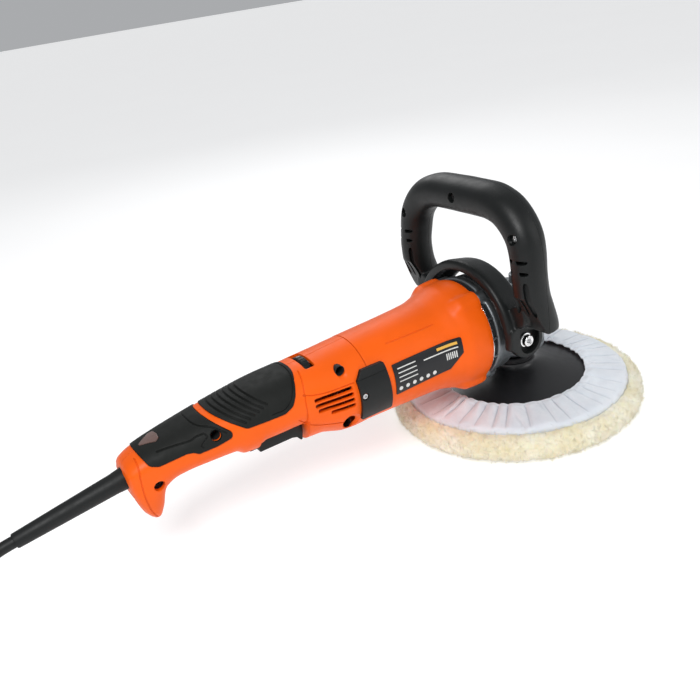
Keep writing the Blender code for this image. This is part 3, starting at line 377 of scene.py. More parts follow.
def bevelled(thing, width, segments=3, angle=35):
    bevel = thing.modifiers.new("edges", "BEVEL")
    bevel.width = width * MM
    bevel.segments = segments
    bevel.limit_method = "ANGLE"
    bevel.angle_limit = math.radians(angle)
    return baked(thing)


def moulded(thing, voxel, rounds):
    """Remeshes joined shapes and softens the corners between them, like a moulding."""
    remesh = thing.modifiers.new("grid", "REMESH")
    remesh.mode = "VOXEL"
    remesh.voxel_size = voxel * MM
    baked(thing)
    smooth = thing.modifiers.new("soften", "SMOOTH")
    smooth.factor = 0.5
    smooth.iterations = rounds
    return baked(thing)


def finish_piece(thing, material, body, *nodes, angle=32):
    """Gives a piece its look and its body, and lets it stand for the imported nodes."""
    thing.data.materials.clear()
    thing.data.materials.append(material)
    thing.data.shade_smooth()
    thing.data.set_sharp_from_angle(angle=math.radians(angle))
    if nodes:
        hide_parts(*nodes)
    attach(thing, body)
    return thing


# Materials

class Nodes:
    """A material's nodes, with short ways to add and join them."""

    def __init__(self, name):
        self.material = bpy.data.materials.new(name)
        self.material.use_nodes = True
        self.tree = self.material.node_tree
        self.shader = self.tree.nodes["Principled BSDF"]
        self.place = self.add("ShaderNodeTexCoord").outputs["Object"]

    def add(self, kind, **values):
        node = self.tree.nodes.new(kind)
        for key, value in values.items():
            setattr(node, key, value)
        return node

    def join(self, source, node, socket):
        self.tree.links.new(source, node.inputs[socket])

    def noise(self, scale, detail=3.0, roughness=0.55):
        """A noise value; scale is in features per metre."""
        node = self.add("ShaderNodeTexNoise")
        node.inputs["Scale"].default_value = scale
        node.inputs["Detail"].default_value = detail
        node.inputs["Roughness"].default_value = roughness
        self.join(self.place, node, "Vector")
        return node.outputs["Fac"]

    def wave(self, scale, direction="X", distortion=0.0):
        node = self.add("ShaderNodeTexWave", bands_direction=direction)
        node.inputs["Scale"].default_value = scale
        node.inputs["Distortion"].default_value = distortion
        self.join(self.place, node, "Vector")
        return node.outputs["Fac"]

    def ramp(self, value, low, high, start=0.3, end=0.7):
        """Maps a value onto a range between two colours."""
        node = self.add("ShaderNodeValToRGB")
        node.color_ramp.elements[0].position = start
        node.color_ramp.elements[1].position = end
        node.color_ramp.elements[0].color = (*low, 1.0)
        node.color_ramp.elements[1].color = (*high, 1.0)
        self.join(value, node, "Fac")
        return node.outputs["Color"]

    def bump(self, height, distance, strength=1.0, under=None):
        node = self.add("ShaderNodeBump")
        node.inputs["Strength"].default_value = strength
        node.inputs["Distance"].default_value = distance * MM
        self.join(height, node, "Height")
        if under is not None:
            self.join(under, node, "Normal")
        return node.outputs["Normal"]

    def edges(self, radius):
        node = self.add("ShaderNodeBevel", samples=6)
        node.inputs["Radius"].default_value = radius * MM
        return node.outputs["Normal"]


def shades(colour, spread):
    """Two close shades of a colour."""
    return tuple(c * (1.0 - spread) for c in colour), tuple(min(c * (1.0 + spread), 1.0) for c in colour)


def plastic(name, colour, roughness, grain=0.03, grain_scale=2600.0, edge=0.5, spread=0.05, specular=0.5):
    """Moulded plastic or rubber: faint mottling, a fine grain and soft edges."""
    n = Nodes(name)
    n.join(n.ramp(n.noise(45.0, 4.0), *shades(colour, spread)), n.shader, "Base Color")
    grey = shades((roughness,) * 3, 0.12)
    n.join(n.ramp(n.noise(160.0, 5.0), *grey), n.shader, "Roughness")
    normal = n.bump(n.noise(grain_scale, 2.0), grain, under=n.edges(edge))
    n.join(normal, n.shader, "Normal")
    n.shader.inputs["Specular IOR Level"].default_value = specular
    return n


def metal(name, colour, roughness, grain, grain_scale, edge=0.35, spread=0.08):
    n = plastic(name, colour, roughness, grain, grain_scale, edge, spread)
    n.shader.inputs["Metallic"].default_value = 1.0
    return n


def lens_material():
    n = plastic("lens", (0.15, 0.082, 0.068), 0.20, 0.02, 900.0, 0.6, 0.25)
    n.shader.inputs["Transmission Weight"].default_value = 0.25
    n.shader.inputs["Coat Weight"].default_value = 0.7
    return n


def coil_material():
    n = Nodes("winding")
    wires = n.wave(900.0, "DIAGONAL")
    n.join(n.ramp(wires, (0.30, 0.10, 0.03), (0.80, 0.36, 0.16)), n.shader, "Base Color")
    n.join(n.bump(wires, 0.25), n.shader, "Normal")
    n.shader.inputs["Metallic"].default_value = 0.9
    n.shader.inputs["Roughness"].default_value = 0.32
    return n


def lamination_material():
    n = Nodes("laminations")
    sheets = n.wave(320.0, "X")
    n.join(n.ramp(sheets, (0.22, 0.23, 0.24), (0.52, 0.53, 0.54)), n.shader, "Base Color")
    n.join(n.bump(sheets, 0.12), n.shader, "Normal")
    n.shader.inputs["Metallic"].default_value = 1.0
    n.shader.inputs["Roughness"].default_value = 0.42
    return n


def foam_material():
    n = Nodes("foam")
    cells = n.add("ShaderNodeTexVoronoi")
    cells.inputs["Scale"].default_value = 900.0
    n.join(n.place, cells, "Vector")
    n.join(n.ramp(cells.outputs["Distance"], (0.05, 0.05, 0.06), (0.13, 0.13, 0.14)), n.shader, "Base Color")
    n.join(n.bump(cells.outputs["Distance"], 0.6), n.shader, "Normal")
    n.shader.inputs["Roughness"].default_value = 0.95
    return n


def fabric_material():
    """Fine woven cotton with a little light through it, and shade painted into its creases from the mesh's
    pointiness.
    """
    n = Nodes("white_fabric")
    # Painted shade: the mesh's pointiness darkens the cloth's colour to a bluish grey in the creases.
    crease_pointiness = n.add("ShaderNodeNewGeometry").outputs["Pointiness"]
    shade = n.ramp(crease_pointiness, (0.34, 0.37, 0.44), (1.0, 1.0, 1.0), 0.41, 0.50)
    cloth_tone_and_painted_shade = n.add("ShaderNodeMixRGB", blend_type="MULTIPLY")
    cloth_tone_and_painted_shade.inputs["Fac"].default_value = 0.8
    n.join(n.ramp(n.noise(60.0, 4.0), (0.70, 0.73, 0.79), (0.80, 0.82, 0.87)), cloth_tone_and_painted_shade, "Color1")
    n.join(shade, cloth_tone_and_painted_shade, "Color2")
    n.join(cloth_tone_and_painted_shade.outputs["Color"], n.shader, "Base Color")
    across, along = n.wave(1400.0, "X", 0.6), n.wave(1400.0, "Y", 0.6)
    weave = n.add("ShaderNodeMath", operation="ADD")
    n.join(across, weave, 0)
    n.join(along, weave, 1)
    wrinkle = n.bump(n.noise(170.0, 5.0), 0.5, 0.7)
    n.join(n.bump(weave.outputs["Value"], 0.05, 0.6, wrinkle), n.shader, "Normal")
    n.shader.inputs["Roughness"].default_value = 0.85
    n.shader.inputs["Sheen Weight"].default_value = 0.35
    n.shader.inputs["Subsurface Weight"].default_value = 0.25
    n.shader.inputs["Subsurface Radius"].default_value = (0.004, 0.003, 0.003)
    n.shader.inputs["Subsurface Scale"].default_value = 0.6
    return n


def wool_material():
    n = Nodes("wool")
    patches = n.noise(38.0, 6.0, 0.65)
    n.join(n.ramp(patches, (0.78, 0.69, 0.42), (0.92, 0.88, 0.72), 0.30, 0.66), n.shader, "Base Color")
    n.join(n.bump(n.noise(800.0, 6.0, 0.7), 0.9), n.shader, "Normal")
    n.shader.inputs["Roughness"].default_value = 0.95
    n.shader.inputs["Sheen Weight"].default_value = 0.5
    n.shader.inputs["Subsurface Weight"].default_value = 0.3
    n.shader.inputs["Subsurface Radius"].default_value = (0.006, 0.004, 0.002)
    n.shader.inputs["Subsurface Scale"].default_value = 0.6
    return n


def floor_material():
    n = Nodes("studio_floor")
    n.join(n.ramp(n.noise(3.0, 2.0), (0.60, 0.60, 0.603), (0.62, 0.62, 0.622)), n.shader, "Base Color")
    n.shader.inputs["Roughness"].default_value = 0.75
    n.shader.inputs["Emission Color"].default_value = (1.0, 1.0, 1.0, 1.0)
    n.shader.inputs["Emission Strength"].default_value = 0.52
    return n


def all_materials():
    made = {
        "orange": plastic("orange_plastic", (0.83, 0.108, 0.003), 0.42, 0.02, 2400.0, 0.6, 0.04, 0.2),
        "grip": plastic("soft_grip", (0.006, 0.007, 0.006), 0.62, 0.06, 1700.0, 0.8, 0.10, 0.24),
        "satin": plastic("satin_black", (0.006, 0.007, 0.007), 0.42, 0.05, 1500.0, 0.6, 0.10, 0.28),
        "gloss": plastic("glossy_black", (0.006, 0.006, 0.007), 0.35, 0.004, 500.0, 0.2, 0.10, 0.65),
        "label": plastic("label", (0.010, 0.010, 0.012), 0.36, 0.01, 900.0, 0.1, 0.05, 0.35),
        "ink": plastic("label_ink", (0.62, 0.62, 0.60), 0.45, 0.01, 900.0, 0.1, 0.05),
        "accent": plastic("label_accent", (0.72, 0.40, 0.06), 0.45, 0.01, 900.0, 0.1, 0.05),
        "mark": plastic("dial_mark", (0.70, 0.70, 0.68), 0.5, 0.01, 900.0, 0.1, 0.05),
        "cable": plastic("cable_rubber", (0.007, 0.008, 0.008), 0.52, 0.05, 1300.0, 0.5, 0.10, 0.28),
        # Black plastic for the ring and screws; in the bore liners it is painted shade down the screw holes.
        "dark": plastic("black_plastic_and_painted_bore_shade", (0.006, 0.006, 0.007), 0.7, 0.03, 900.0, 0.2, 0.10),
        "board": plastic("circuit_board", (0.01, 0.07, 0.03), 0.4, 0.05, 900.0, 0.2, 0.15),
        "carbon": plastic("carbon", (0.03, 0.03, 0.032), 0.6, 0.08, 900.0, 0.3, 0.2),
        "cast": metal("cast_aluminium", (0.22, 0.235, 0.245), 0.50, 0.10, 900.0, 0.8),
        "bright": metal("machined_aluminium", (0.82, 0.83, 0.84), 0.26, 0.02, 1800.0, 0.4),
        "steel": metal("steel", (0.56, 0.56, 0.57), 0.30, 0.02, 1500.0, 0.3),
        "chrome": metal("chrome", (0.86, 0.86, 0.86), 0.12, 0.01, 900.0, 0.3),
        "brass": metal("brass", (0.70, 0.48, 0.20), 0.32, 0.02, 900.0, 0.3),
        "copper": metal("copper", (0.75, 0.34, 0.18), 0.30, 0.03, 1200.0, 0.3),
        "lens": lens_material(),
        "winding": coil_material(),
        "laminations": lamination_material(),
        "foam": foam_material(),
        "fabric": fabric_material(),
        "wool": wool_material(),
        "floor": floor_material(),
    }
    return {key: nodes.material for key, nodes in made.items()}


LOOK = all_materials()


# Handle shells and what is set into them

def section_ring(section, offset, around=112):
    """Points round a section of the handle: round at the barrel, squarer along the grip."""
    x_mid, half_width, top, bottom, wide, lean = section
    share = min(max((BARREL_END_X - x_mid) / (BARREL_END_X - GRIP_START_X), 0.0), 1.0)
    power = BARREL_POWER + (GRIP_POWER - BARREL_POWER) * share
    angle = np.linspace(0.0, 2 * math.pi, around, endpoint=False)
    across = np.sign(np.sin(angle)) * np.abs(np.sin(angle)) ** (2 / power)
    up = np.sign(np.cos(angle)) * np.abs(np.cos(angle)) ** (2 / power)
    reach = np.where(up > 0, top - wide, wide - bottom) + offset
    z = wide + reach * up
    share_up = np.clip((z - bottom) / (top - bottom), 0.0, 1.0)
    bulge = 2.8 * np.sin(math.pi * share_up) * min(max((-328.0 - x_mid) / 14.0, 0.0), 1.0)
    return np.stack([x_mid + lean * (z - AXIS_Z) - bulge, (half_width + offset) * across, z], axis=-1)


def between_sections(sections, step=1.3):
    """The listed sections with smooth ones between them."""
    sections = np.asarray(sections, dtype=float)
    keys = -sections[:, 0]
    places = []
    for first, second in zip(keys, keys[1:]):
        places += list(np.linspace(first, second, max(int((second - first) / step), 1), endpoint=False))
    places = np.array(places + [keys[-1]])
    values = smooth_between(keys, sections[:, 1:], places)
    return np.concatenate([-places[:, None], values], axis=1)


def handle_form(name, offset, overrun=0.0):
    """The handle's outer form, moved outwards by offset and with a rounded tail."""
    rings = []
    end = HANDLE_SECTIONS[-1][0]
    for section in between_sections(HANDLE_SECTIONS):
        left = min(section[0] - end, TAIL_ROUNDING)
        inset = TAIL_ROUNDING - math.sqrt(TAIL_ROUNDING**2 - (TAIL_ROUNDING - left) ** 2)
        rings.append(section_ring(section, offset - inset))
    rings[0][:, 0] += overrun
    if overrun:
        rings.append(rings[-1] - np.array([overrun, 0.0, 0.0]))
    return skin(name, rings)


def cavity_form(name):
    """The hollow inside the shells, with its floor raised above the trigger and the tail."""
    sections = []
    for x_mid, half_width, top, bottom, wide, _ in HANDLE_SECTIONS:
        if x_mid < CAVITY_END_X:
            break
        floor = bottom + SHELL_WALL
        if x_mid < -195.0:
            floor = max(82.4, floor)
        if x_mid < -318.0:
            floor = 86.5
        sections.append((x_mid, half_width - SHELL_WALL, top - SHELL_WALL, floor, wide, 0.0))
    last = sections[-1]
    sections.append((CAVITY_END_X, last[1] - 3.0, last[2] - 3.0, last[3], last[4], 0.0))
    rings = [section_ring(section, 0.0, 72) for section in between_sections(sections, 3.0)]
    rings[0][:, 0] += 5.0
    return skin(name, rings)


def joined(things):
    """Separate shapes as one mesh."""
    first, *rest = things
    bm = bmesh.new()
    for thing in things:
        bm.from_mesh(thing.data)
    bm.to_mesh(first.data)
    bm.free()
    for thing in rest:
        bpy.data.objects.remove(thing)
    return first


def layer(name, outlines, depth, reach=45.0):
    """Cutter for marks of a given depth, measured from the handle's form, from side outlines."""
    marks = joined([prism(name + str(i), outline, -reach, reach) for i, outline in enumerate(outlines)])
    return cut(marks, handle_form(name + "_floor", -depth, 8.0))


def line(points, width, steps=40):
    """A band along a smooth line through points given from one end to the other."""
    points = np.asarray(points, dtype=float)
    length = np.concatenate([[0.0], np.cumsum(np.linalg.norm(np.diff(points, axis=0), axis=1))])
    return ribbon(smooth_between(length, points, np.linspace(0.0, length[-1], steps)), width)


def cord_point(distance, height=0.0):
    along = np.array([-math.cos(CORD_SLOPE), 0.0, -math.sin(CORD_SLOPE)])
    return tuple(CORD_EXIT + along * distance + np.array([0.0, 0.0, height]))


def brush_opening():
    return rod("brush_opening", (BRUSH_X, -45.0, AXIS_Z), (BRUSH_X, 45.0, AXIS_Z), BRUSH_OPENING)


def vent_slots():
    """Four slots on each side; their rear ends step in towards the bottom."""
    front, height = -182.0, 3.3
    slots = []
    for side in SIDES:
        near, far = sorted((side * 22.0, side * 38.0))
        for low, rear in ((98.4, -212.0), (94.0, -212.0), (89.6, -210.5), (85.2, -201.3)):
            corners = [(rear, low), (front, low), (front, low + height), (rear, low + height)]
            slots.append(prism("vent_slot", rounded(corners, 1.2, 3), near, far))
    return joined(slots)


def handle_shells():
    """Both shells, with the seats, seams, slots, bores and openings cut into them."""
    shell = cut(handle_form("handle_shells", 0.0), cavity_form("cavity"))
    grips = [grown(rounded(FRONT_GRIP_OUTLINE, 5.0), GAP), grown(rounded(REAR_COVER_OUTLINE, 3.0), GAP)]
    cut(shell, layer("grip_seats", grips, GRIP_DEPTH + GAP))
    seams = [
        line([(-219.4, 107.4), (-211.0, 104.6), (-200.0, 103.2), (-179.6, 103.0)], 0.7),
        line([(-226.5, 91.0), (-219.0, 84.0), (-209.0, 78.6), (-190.0, 73.4)], 0.7),
        line([(-212.8, 119.5), (-215.6, 113.0), (-217.6, 107.0), (-218.8, 100.0), (-219.2, 92.0),
              (-218.6, 84.6)], 0.8),
        line([(-338.5, 104.0), (-340.5, 92.0), (-341.0, 80.0), (-339.5, 66.0), (-336.0, 55.0)], 0.8),
    ]
    cut(shell, layer("shell_seams", seams, 0.6))
    cut(shell, vent_slots())
    cut(shell, box("trigger_seat", (-263.4, -12.4, 50.0), (-250.0, 12.4, 86.0)))
    cut(shell, box("trigger_slot", (-256.8, -18.0, 50.0), (-219.5, 18.0, 90.0)))
    cut(shell, box("handle_underside", (-256.4, -60.0, 50.0), (-221.5, 60.0, 84.2)))
    dial_slot = rounded([(-207.6, -14.2), (-199.4, -14.2), (-199.4, 14.2), (-207.6, 14.2)], 1.6)
    cut(shell, prism("dial_slot", dial_slot, 112.0, 130.0, along="Z"))
    cut(shell, rod("guard_socket", cord_point(0.0), cord_point(30.0), GUARD_RADIUS + 0.4))
    cut(shell, rod("cable_passage", cord_point(-20.0), cord_point(2.0), 4.8))
    for name, (x, z, seat, surface, _, mouth) in SHELL_SCREWS.items():
        cut(shell, rod(name + "_bore", (x, -60.0, z), (x, -seat, z), BORE_RADIUS))
        if name != "rear":
            cut(shell, rod(name + "_dimple", (x, -surface + 6.0, z), (x, -surface - 6.0, z), 2.4, mouth))
    cut(shell, brush_opening())
    for name, low, high in (("handle_shell_left", 0.15, 60.0), ("handle_shell_right", -60.0, -0.15)):
        half = keep(copied(shell, name), box("half", (-400.0, low, 0.0), (-100.0, high, 200.0)))
        if low > 0:
            x, z = LOCK_ON
            cut(half, rod("lock_button_hole", (x, 10.0, z), (x, 60.0, z), 5.4))
        finish_piece(half, LOOK["orange"], BODY, name)
    bpy.data.objects.remove(shell)


def inlay(name, outline):
    """A skin piece set into the handle's surface within a side outline."""
    piece = prism(name, outline, -45.0, 45.0)
    keep(piece, handle_form(name + "_outside", GRIP_PROUD, 2.0))
    return cut(piece, handle_form(name + "_inside", -GRIP_DEPTH, 8.0))


def front_grip():
    """The front grip, with slanted ribs at its rear and a contour line round its front."""
    grip = inlay("front_grip_skin", rounded(FRONT_GRIP_OUTLINE, 5.0))
    along = np.array([19.5, -15.0]) / 24.6
    across = np.array([0.61, 0.793])
    edge = np.array([-264.5, 101.2])
    ribs = []
    for index in range(6):
        start = edge + across * (3.4 + 3.2 * index) - along * 34.0
        end = edge + across * (3.4 + 3.2 * index) - along * (1.6 - 2.1 * index)
        ribs.append(ribbon([start, (start + end) / 2, end], 1.3))
    cut(grip, layer("grip_ribs", ribs, -GRIP_PROUD + 0.85))
    contour = [(-217.0, 124.0), (-219.6, 119.6), (-222.8, 115.2), (-227.8, 109.2), (-232.0, 105.8),
               (-237.5, 104.0), (-246.0, 104.1)]
    cut(grip, layer("grip_contour", [line(contour, 0.8)], -GRIP_PROUD + 0.6))
    finish_piece(grip, LOOK["grip"], BODY, "front_grip")


def rear_cover():
    """The rear cover, with its step and curled line, the screw's bore and the lens."""
    cover = inlay("rear_cover_skin", rounded(REAR_COVER_OUTLINE, 3.0))
    step = line([(-300.5, 124.0), (-296.5, 113.2), (-286.0, 109.2), (-278.5, 103.4)], 0.9)
    swoosh = line([(-325.0, 105.8), (-314.0, 106.3), (-303.0, 106.2), (-297.4, 107.4), (-292.6, 107.6),
                   (-291.6, 105.2), (-294.6, 103.4), (-297.2, 101.0), (-296.0, 99.4)], 0.8, 70)
    cut(cover, layer("cover_step", [step], -GRIP_PROUD + 0.6))
    cut(cover, layer("cover_swoosh", [swoosh], -GRIP_PROUD + 0.6))
    x, z, *_, mouth = SHELL_SCREWS["rear"]
    cut(cover, rod("cover_bore", (x, -60.0, z), (x, 0.0, z), mouth))
    cut(cover, prism("lens_window", grown(rounded(LENS_OUTLINE, 1.6), GAP), 90.0, 130.0, along="Z"))
    finish_piece(cover, LOOK["grip"], BODY, "rear_cover")
    lens = prism("status_lens", rounded(LENS_OUTLINE, 1.6), 90.0, 130.0, along="Z")
    keep(lens, handle_form("lens_outside", GRIP_PROUD + 0.3, 2.0))
    cut(lens, handle_form("lens_inside", -GRIP_DEPTH, 8.0))
    finish_piece(lens, LOOK["lens"], BODY, "indicator_lens")


def screw(name, seat, head, radius, depth, drive, material, body, node):
    """A domed screw head from its seat outwards, with a six-sided socket."""
    seat, head = Vector(seat), Vector(head)
    out = (head - seat).normalized()
    top = seat + out * depth
    thing = rod(name, seat, seat + out * depth * 0.6, radius, steps=40)
    add(thing, rod("dome", seat + out * depth * 0.5, top, radius, radius * 0.78, 40))
    cut(thing, rod("socket", top - out * depth * 0.55, top + out * 3.0, drive, steps=6))
    add(thing, rod("shank", seat + out * 0.2, seat - out * 9.0, radius * 0.45, steps=20))
    return finish_piece(thing, LOOK[material], body, node)


def shell_screws():
    for name, (x, z, seat, _, shade_liner_end, _) in SHELL_SCREWS.items():
        start = (x, -seat - GAP, z)
        look = "steel" if name == "lower" else "dark"
        screw("shell_screw_" + name, start, (x, -60.0, z), HEAD_RADIUS, 2.6, 1.5, look, BODY,
              "handle_screw_" + name)
        # Painted shade: a near-black liner inside each bore stands for the shade down the hole.
        shade_liner = rod("bore_shade_liner_" + name, (x, -seat - 2.0, z), (x, -shade_liner_end, z), BORE_RADIUS - 0.04)
        cut(shade_liner, rod("shade_liner_way", (x, -seat, z), (x, -shade_liner_end - 5.0, z), HEAD_RADIUS + 0.12))
        finish_piece(shade_liner, LOOK["dark"], BODY)


# Motor housing and its plates

def housing_radius(x):
    keys = [-at for _, at in HOUSING_PROFILE]
    values = [[radius] for radius, _ in HOUSING_PROFILE]
    return smooth_between(keys, values, -np.asarray(x, dtype=float))[:, 0]


def housing_rings(offset, bosses, x_values, around=168):
    """Rings of the housing's surface, with the four screw bosses swelling towards the head."""
    angle = np.linspace(0.0, 2 * math.pi, around, endpoint=False)
    rings = []
    radii = housing_radius(np.clip(x_values, BARREL_REAR_X, HOUSING_FRONT_X)) + offset
    for x, radius in zip(x_values, radii):
        swell = np.zeros(around)
        if bosses:
            start = np.clip((x + 85.0) / 11.0, 0.0, 1.0)
            rise = 3.4 * start * start * (3.0 - 2.0 * start)
            for degrees in LUG_ANGLES:
                away = (angle - math.radians(degrees) + math.pi) % (2 * math.pi) - math.pi
                swell += rise * np.exp(-((away * 42.0 / 6.4) ** 4))
        reach = radius + swell
        across, up = reach * np.sin(angle), AXIS_Z + reach * np.cos(angle)
        rings.append(np.stack([np.full(around, x), across, up], axis=-1))
    return rings


def motor_housing():
    x_values = np.linspace(BARREL_REAR_X, HOUSING_FRONT_X, 92)
    outer = housing_rings(0.0, True, x_values)
    inner = housing_rings(-HOUSING_WALL, False, x_values[::-1])
    housing = skin("motor_housing_skin", outer + inner, loop=True)
    cut(housing, brush_opening())
    grooves = []
    for side in SIDES:
        path = [(-143.0, side * 21.8), (-122.0, side * 23.0), (-100.0, side * 24.2)]
        grooves.append(prism("groove%d" % side, ribbon(path, 0.9), 100.0, 130.0, along="Z"))
    floor_x = np.linspace(BARREL_REAR_X, HOUSING_FRONT_X, 60)
    floor = skin("groove_floor", housing_rings(-0.6, False, floor_x))
    cut(housing, cut(joined(grooves), floor))
    finish_piece(housing, LOOK["orange"], BODY, "motor_housing")


def skin_plate(name, outline, inner, outer, side):
    """A plate bent round the housing within a side outline."""
    x_values = np.linspace(-190.0, HOUSING_FRONT_X, 110)
    near, far = sorted((side * 1.0, side * 60.0))
    plate = keep(prism(name, outline, near, far), skin("outside", housing_rings(outer, False, x_values)))
    return cut(plate, skin("inside", housing_rings(inner, False, x_values)))


def brush_covers():
    x, z = -175.0, 91.5
    for name, side in (("left", 1), ("right", -1)):
        cover = skin_plate("brush_cap_" + name, rounded(BRUSH_COVER_OUTLINE, 1.6), 0.4, 2.6, side)
        cut(cover, rod("bore", (x, side * 20.0, z), (x, side * 45.0, z), 2.8))
        crease = ribbon([(-180.0, 104.4), (-165.0, 104.4), (-150.0, 104.4)], 0.5)
        cut(cover, skin_plate("crease", crease, 2.25, 4.0, side))
        finish_piece(cover, LOOK["satin"], BODY, "brush_cover_" + name)
        head = rod("brush_cap_screw_" + name, (x, side * 34.0, z), (x, side * 36.4, z), 2.0)
        cut(head, rod("slot", (x, side * 35.6, z), (x, side * 40.0, z), 1.2, steps=6))
        finish_piece(head, LOOK["steel"], BODY, "brush_cover_screw_" + name)


def rating_label():
    """A plain plate with an accent bar, blank lines, even stripes and a row of dots."""
    finish_piece(skin_plate("plain_label", rounded(LABEL_OUTLINE, 1.0), 0.3, 0.8, -1), LOOK["label"], BODY,
                 "rating_label")
    bars = [[(-107.0, 103.4), (-89.0, 103.6), (-89.0, 101.6), (-107.0, 101.4)]]
    ink = [[(-120.0, 99.4), (-89.0, 99.8), (-89.0, 98.9), (-120.0, 98.5)]]
    ink += [[(-143.5, 101.0 - 3.4 * i), (-127.0, 101.2 - 3.4 * i), (-127.0, 100.4 - 3.4 * i),
             (-143.5, 100.2 - 3.4 * i)] for i in range(4)]
    ink += [[(x, 96.9), (x + 0.9, 96.9), (x + 0.9, 91.6), (x, 91.6)] for x in np.arange(6) * 1.7 - 100.0]
    ink += [arc((-143.0 + 6.2 * i, 84.6 + 0.22 * i), 1.7, 0, 330, 12) for i in range(6)]
    for name, outlines, look in (("label_bar", bars, "accent"), ("label_lines", ink, "ink")):
        plates = [skin_plate(name + str(i), outline, 0.7, 0.86, -1) for i, outline in enumerate(outlines)]
        piece = joined(plates)
        piece.name = name
        finish_piece(piece, LOOK[look], BODY)


# Gear head

def lug_centre(degrees):
    angle = math.radians(degrees)
    return LUG_CIRCLE * math.sin(angle), AXIS_Z + LUG_CIRCLE * math.cos(angle)


def gear_case():
    """The case, its cover and screws. A collar behind the flange fills the space under the arch."""
    case = turned("gear_case", [
        (0.0, 110.5), (17.0, 110.5), (20.6, 110.0), (23.6, 108.6), (25.8, 106.4), (27.2, 103.4),
        (CASE_RADIUS, 99.5), (CASE_RADIUS, 64.0), (CASE_RADIUS, CASE_BOTTOM_Z), (0.0, CASE_BOTTOM_Z),
    ], 144)
    flange = [(0.0, -52.3), (42.6, -52.3), (43.4, -51.6), (43.4, -47.2), (42.9, -46.3), (42.3, -45.6),
              (41.6, -33.6), (40.6, -32.0), (38.4, -31.2), (33.6, -29.6), (29.0, -14.0), (0.0, -14.0)]
    add(case, turned("flange", flange, 144, "X", (0.0, 0.0, AXIS_Z)))
    for degrees in LUG_ANGLES:
        y, z = lug_centre(degrees)
        add(case, rod("lug", (HOUSING_FRONT_X + GAP, y, z), (LUG_FRONT_X, y, z), LUG_RADIUS, steps=40))
    for side in SIDES:
        add(case, rod("pad", (PIVOT_X, side * 20.0, PIVOT_Z), (PIVOT_X, side * 48.6, PIVOT_Z), 8.6))
    add(case, rod("lock_boss", (LOCK_X, 0, 100.0), (LOCK_X, 0, 118.0), 9.4))
    case = moulded(case, 0.8, 6)
    cut(case, rod("cover_room", (0, 0, 40.0), (0, 0, CASE_BOTTOM_Z), CASE_RADIUS + 0.4, steps=128))
    cut(case, rod("gear_chamber", (0, 0, 50.0), (0, 0, 97.0), CHAMBER_RADIUS, steps=128))
    cut(case, rod("front_bearing_pocket", (-60.0, 0, AXIS_Z), (-36.0, 0, AXIS_Z), 13.8))
    cut(case, rod("pinion_passage", (-60.0, 0, AXIS_Z), (-20.0, 0, AXIS_Z), 10.0))
    cut(case, rod("upper_bearing_pocket", (0, 0, 90.0), (0, 0, 107.0), 6.8))
    cut(case, rod("lock_pocket", (LOCK_X, 0, 106.0), (LOCK_X, 0, 130.0), 6.2))
    cut(case, rod("lock_guide", (LOCK_X, 0, 90.0), (LOCK_X, 0, 110.0), 2.5))
    for side in SIDES:
        cut(case, rod("bolt_hole", (PIVOT_X, side * 34.0, PIVOT_Z), (PIVOT_X, side * 60.0, PIVOT_Z), 3.7))
    for degrees in LUG_ANGLES:
        y, z = lug_centre(degrees)
        cut(case, rod("lug_hole", (-70.0, y, z), (-40.0, y, z), 1.9, steps=20))
    finish_piece(case, LOOK["cast"], BODY, "gearbox_housing")
    seat = CASE_BOTTOM_Z - GAP
    spigot = CHAMBER_RADIUS - 0.4
    cover = turned("gear_case_cover", [
        (14.3, 63.2), (spigot, 63.2), (spigot, seat), (CASE_RADIUS - 0.4, seat), (CASE_RADIUS, seat - 0.4),
        (CASE_RADIUS, 58.0), (27.4, 57.1), (26.4, 56.5), (19.0, 53.6), (17.2, 50.8), (16.4, 50.2),
        (9.0, 50.2), (9.0, 53.9), (14.3, 53.9),
    ], 144, loop=True)
    finish_piece(cover, LOOK["cast"], BODY, "gearbox_cover")
    names = ("upper_left", "upper_right", "lower_left", "lower_right")
    for name, degrees in zip(names, LUG_ANGLES):
        y, z = lug_centre(degrees)
        screw("case_screw_" + name, (LUG_FRONT_X + GAP, y, z), (0.0, y, z), 3.2, 3.1, 1.5, "steel", BODY,
              "gearbox_screw_" + name)


def exhaust_ring():
    vent = turned("exhaust_band", [(33.0, -57.3), (41.2, -57.3), (41.6, -56.9), (41.6, -53.0), (41.2, -52.6),
                                   (33.0, -52.6)], 144, "X", (0.0, 0.0, AXIS_Z), loop=True)
    for degrees in LUG_ANGLES:
        y, z = lug_centre(degrees)
        cut(vent, rod("notch", (-60.0, y, z), (-50.0, y, z), LUG_RADIUS + GAP, steps=32))
    finish_piece(vent, LOOK["dark"], BODY, "exhaust_ring")
    rim = turned("exhaust_rim", [(41.9, -57.2), (43.0, -57.2), (43.0, -56.3), (41.9, -56.3)], 144, "X",
                 (0.0, 0.0, AXIS_Z), loop=True)
    finish_piece(rim, LOOK["bright"], BODY)
    ribs = []
    for degrees in (84, -84, 62, -62, 106, -106):
        angle = math.radians(degrees)
        out = np.array([0.0, math.sin(angle), math.cos(angle)])
        centre = np.array([0.0, 0.0, AXIS_Z])
        place = [tuple(centre + out * 42.4 + np.array([x, 0.0, 0.0])) for x in (-57.2, -52.4)]
        ribs.append(rod("rib%d" % degrees, place[0], place[1], 0.9, steps=16))
    piece = joined(ribs)
    piece.name = "exhaust_ribs"
    finish_piece(piece, LOOK["cast"], BODY)


# Loop handle

